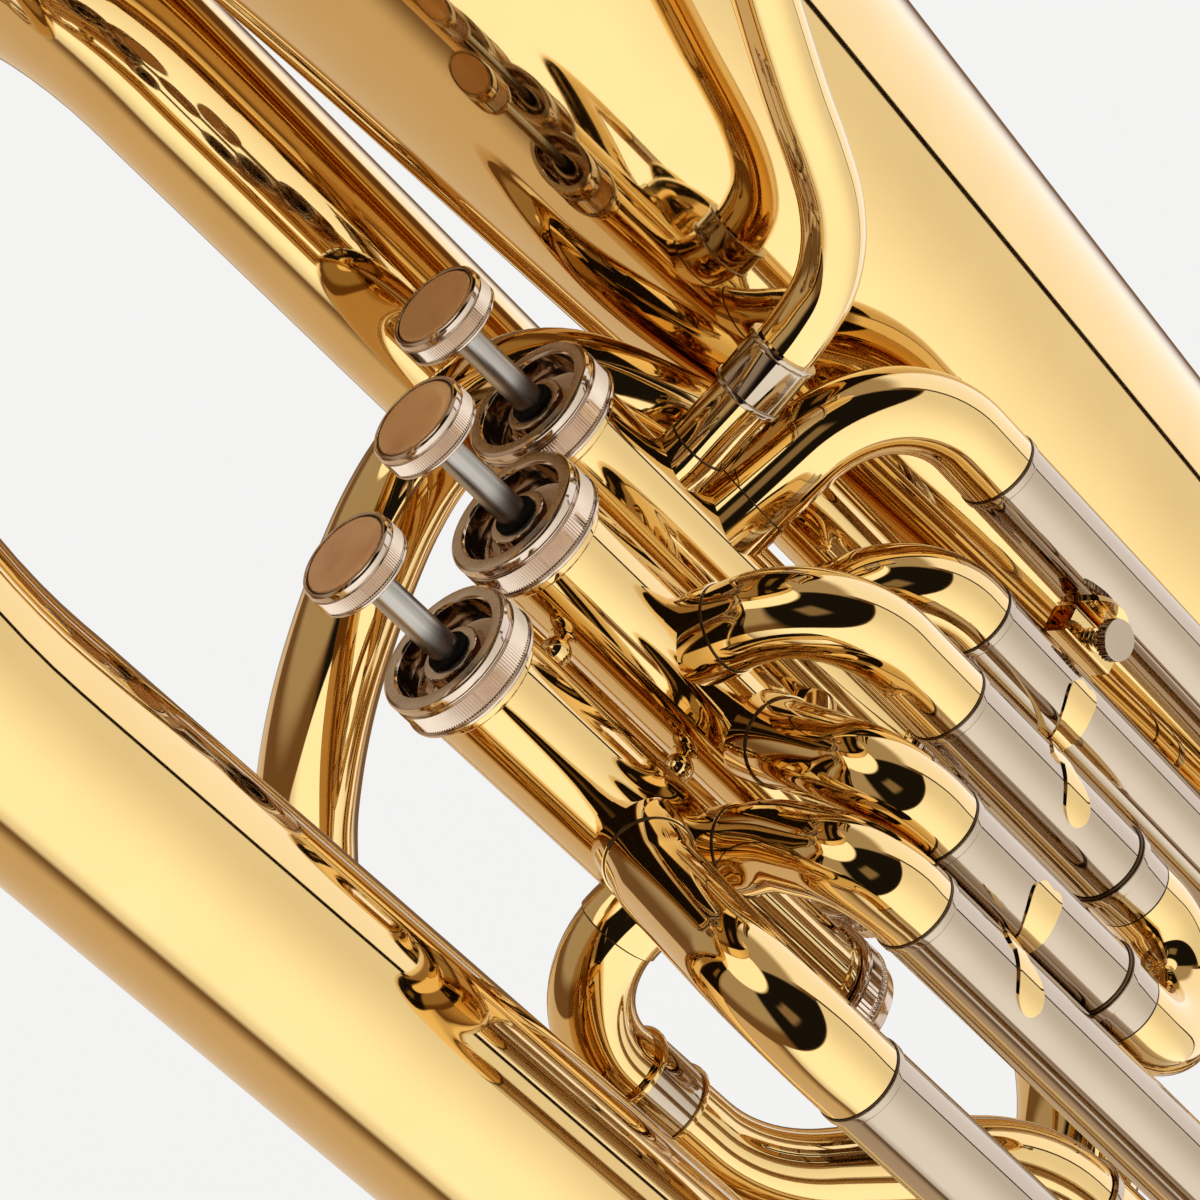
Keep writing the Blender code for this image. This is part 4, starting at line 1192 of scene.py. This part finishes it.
# Soft boxes and dark flags round the instrument, as seen from it: azimuth in degrees from the camera towards the
# right of the picture (where each fades in, is full, starts to fade and ends), the same for the angle above the
# horizon, and the colour. Later ones cover earlier ones.
ROOM = [
    ((-200, -199, 199, 200), (-100, -99, 99, 100), (0.20, 0.11, 0.05)),
    ((-176, -160, -84, -66), (-100, -99, 8, 10), (0.76, 0.60, 0.42)),
    ((-68, -62, 73.4, 73.9), (-100, -99, 12, 13), (1.06, 1.05, 0.99)),
    ((-64, -48, -18, 62), (-100, -99, 12, 13), (1.56, 1.60, 1.60)),
    ((77.0, 77.5, 132, 158), (-100, -99, 44, 58), (1.32, 1.34, 1.42)),
    ((-200, -199, 199, 200), (22, 34, 80, 81), (0.50, 0.41, 0.31)),
    ((73.9, 74.2, 76.8, 77.1), (-70, -60, 12, 14), (0.012, 0.008, 0.005)),
    ((-52, -42, 68, 74), (13, 14, 64, 65), (0.012, 0.010, 0.008)),
    ((-20, -10, 6, 16), (32, 38, 48, 54), (0.30, 0.22, 0.14)),
    ((-200, -199, 199, 200), (65, 67, 99, 100), (1.55, 1.52, 1.45)),
]


def room():
    world = bpy.data.worlds.new("room")
    bpy.context.scene.world = world
    world.use_nodes = True
    tree = world.node_tree
    direction = tree.nodes.new("ShaderNodeTexCoord").outputs["Generated"]
    parts = []
    for axis in (TOWARDS_CAMERA, PICTURE_RIGHT, UP):
        dot = tree.nodes.new("ShaderNodeVectorMath")
        dot.operation = "DOT_PRODUCT"
        tree.links.new(direction, dot.inputs[0])
        dot.inputs[1].default_value = axis
        parts.append(dot.outputs["Value"])
    azimuth = maths(tree, "MULTIPLY", maths(tree, "ARCTAN2", parts[1], parts[0]), 180 / math.pi)
    elevation = maths(tree, "MULTIPLY", maths(tree, "ARCSINE", parts[2]), 180 / math.pi)
    colour = None
    for sideways, upward, light in ROOM:
        if colour is None:
            flat = tree.nodes.new("ShaderNodeRGB")
            flat.outputs[0].default_value = (*light, 1)
            colour = flat.outputs[0]
            continue
        share = maths(tree, "MULTIPLY", between(tree, azimuth, *sideways), between(tree, elevation, *upward))
        mix = tree.nodes.new("ShaderNodeMix")
        mix.data_type = "RGBA"
        tree.links.new(share, mix.inputs["Factor"])
        tree.links.new(colour, mix.inputs[6])
        mix.inputs[7].default_value = (*light, 1)
        colour = mix.outputs[2]
    background = tree.nodes["Background"]
    tree.links.new(colour, background.inputs["Color"])


def floor():
    reach = 12.0
    mesh = bpy.data.meshes.new("floor")
    corners = [(-reach, -reach, 0), (reach, -reach, 0), (reach, reach, 0), (-reach, reach, 0)]
    mesh.from_pydata(corners, [], [(0, 1, 2, 3)])
    plane = bpy.data.objects.new("floor", mesh)
    bpy.context.scene.collection.objects.link(plane)
    material, tree, shader = new_material("pale_floor")
    shader.inputs["Base Color"].default_value = (0.06, 0.06, 0.06, 1)
    shader.inputs["Roughness"].default_value = 0.9
    shader.inputs["Emission Color"].default_value = (1, 1, 1, 1)
    shader.inputs["Emission Strength"].default_value = 0.85
    mesh.materials.append(material)
    plane.visible_glossy = False
    plane.visible_shadow = False


def camera():
    data = bpy.data.cameras.new("camera")
    data.lens = 133.88
    data.sensor_width = 36
    eye = bpy.data.objects.new("camera", data)
    bpy.context.scene.collection.objects.link(eye)
    right = Vector((0.23744, -0.74907, -0.61848))
    up = Vector((0.75898, -0.25431, 0.59939))
    back = Vector((-0.60627, -0.61174, 0.50814))
    turn = Matrix((right, up, back)).transposed().to_4x4()
    eye.matrix_world = Matrix.Translation((-0.57574, -0.50662, 0.79392)) @ turn
    bpy.context.scene.camera = eye


room()
floor()
camera()
bpy.context.scene.view_settings.view_transform = "Standard"
bpy.context.scene.cycles.max_bounces = 12
bpy.context.scene.cycles.glossy_bounces = 8
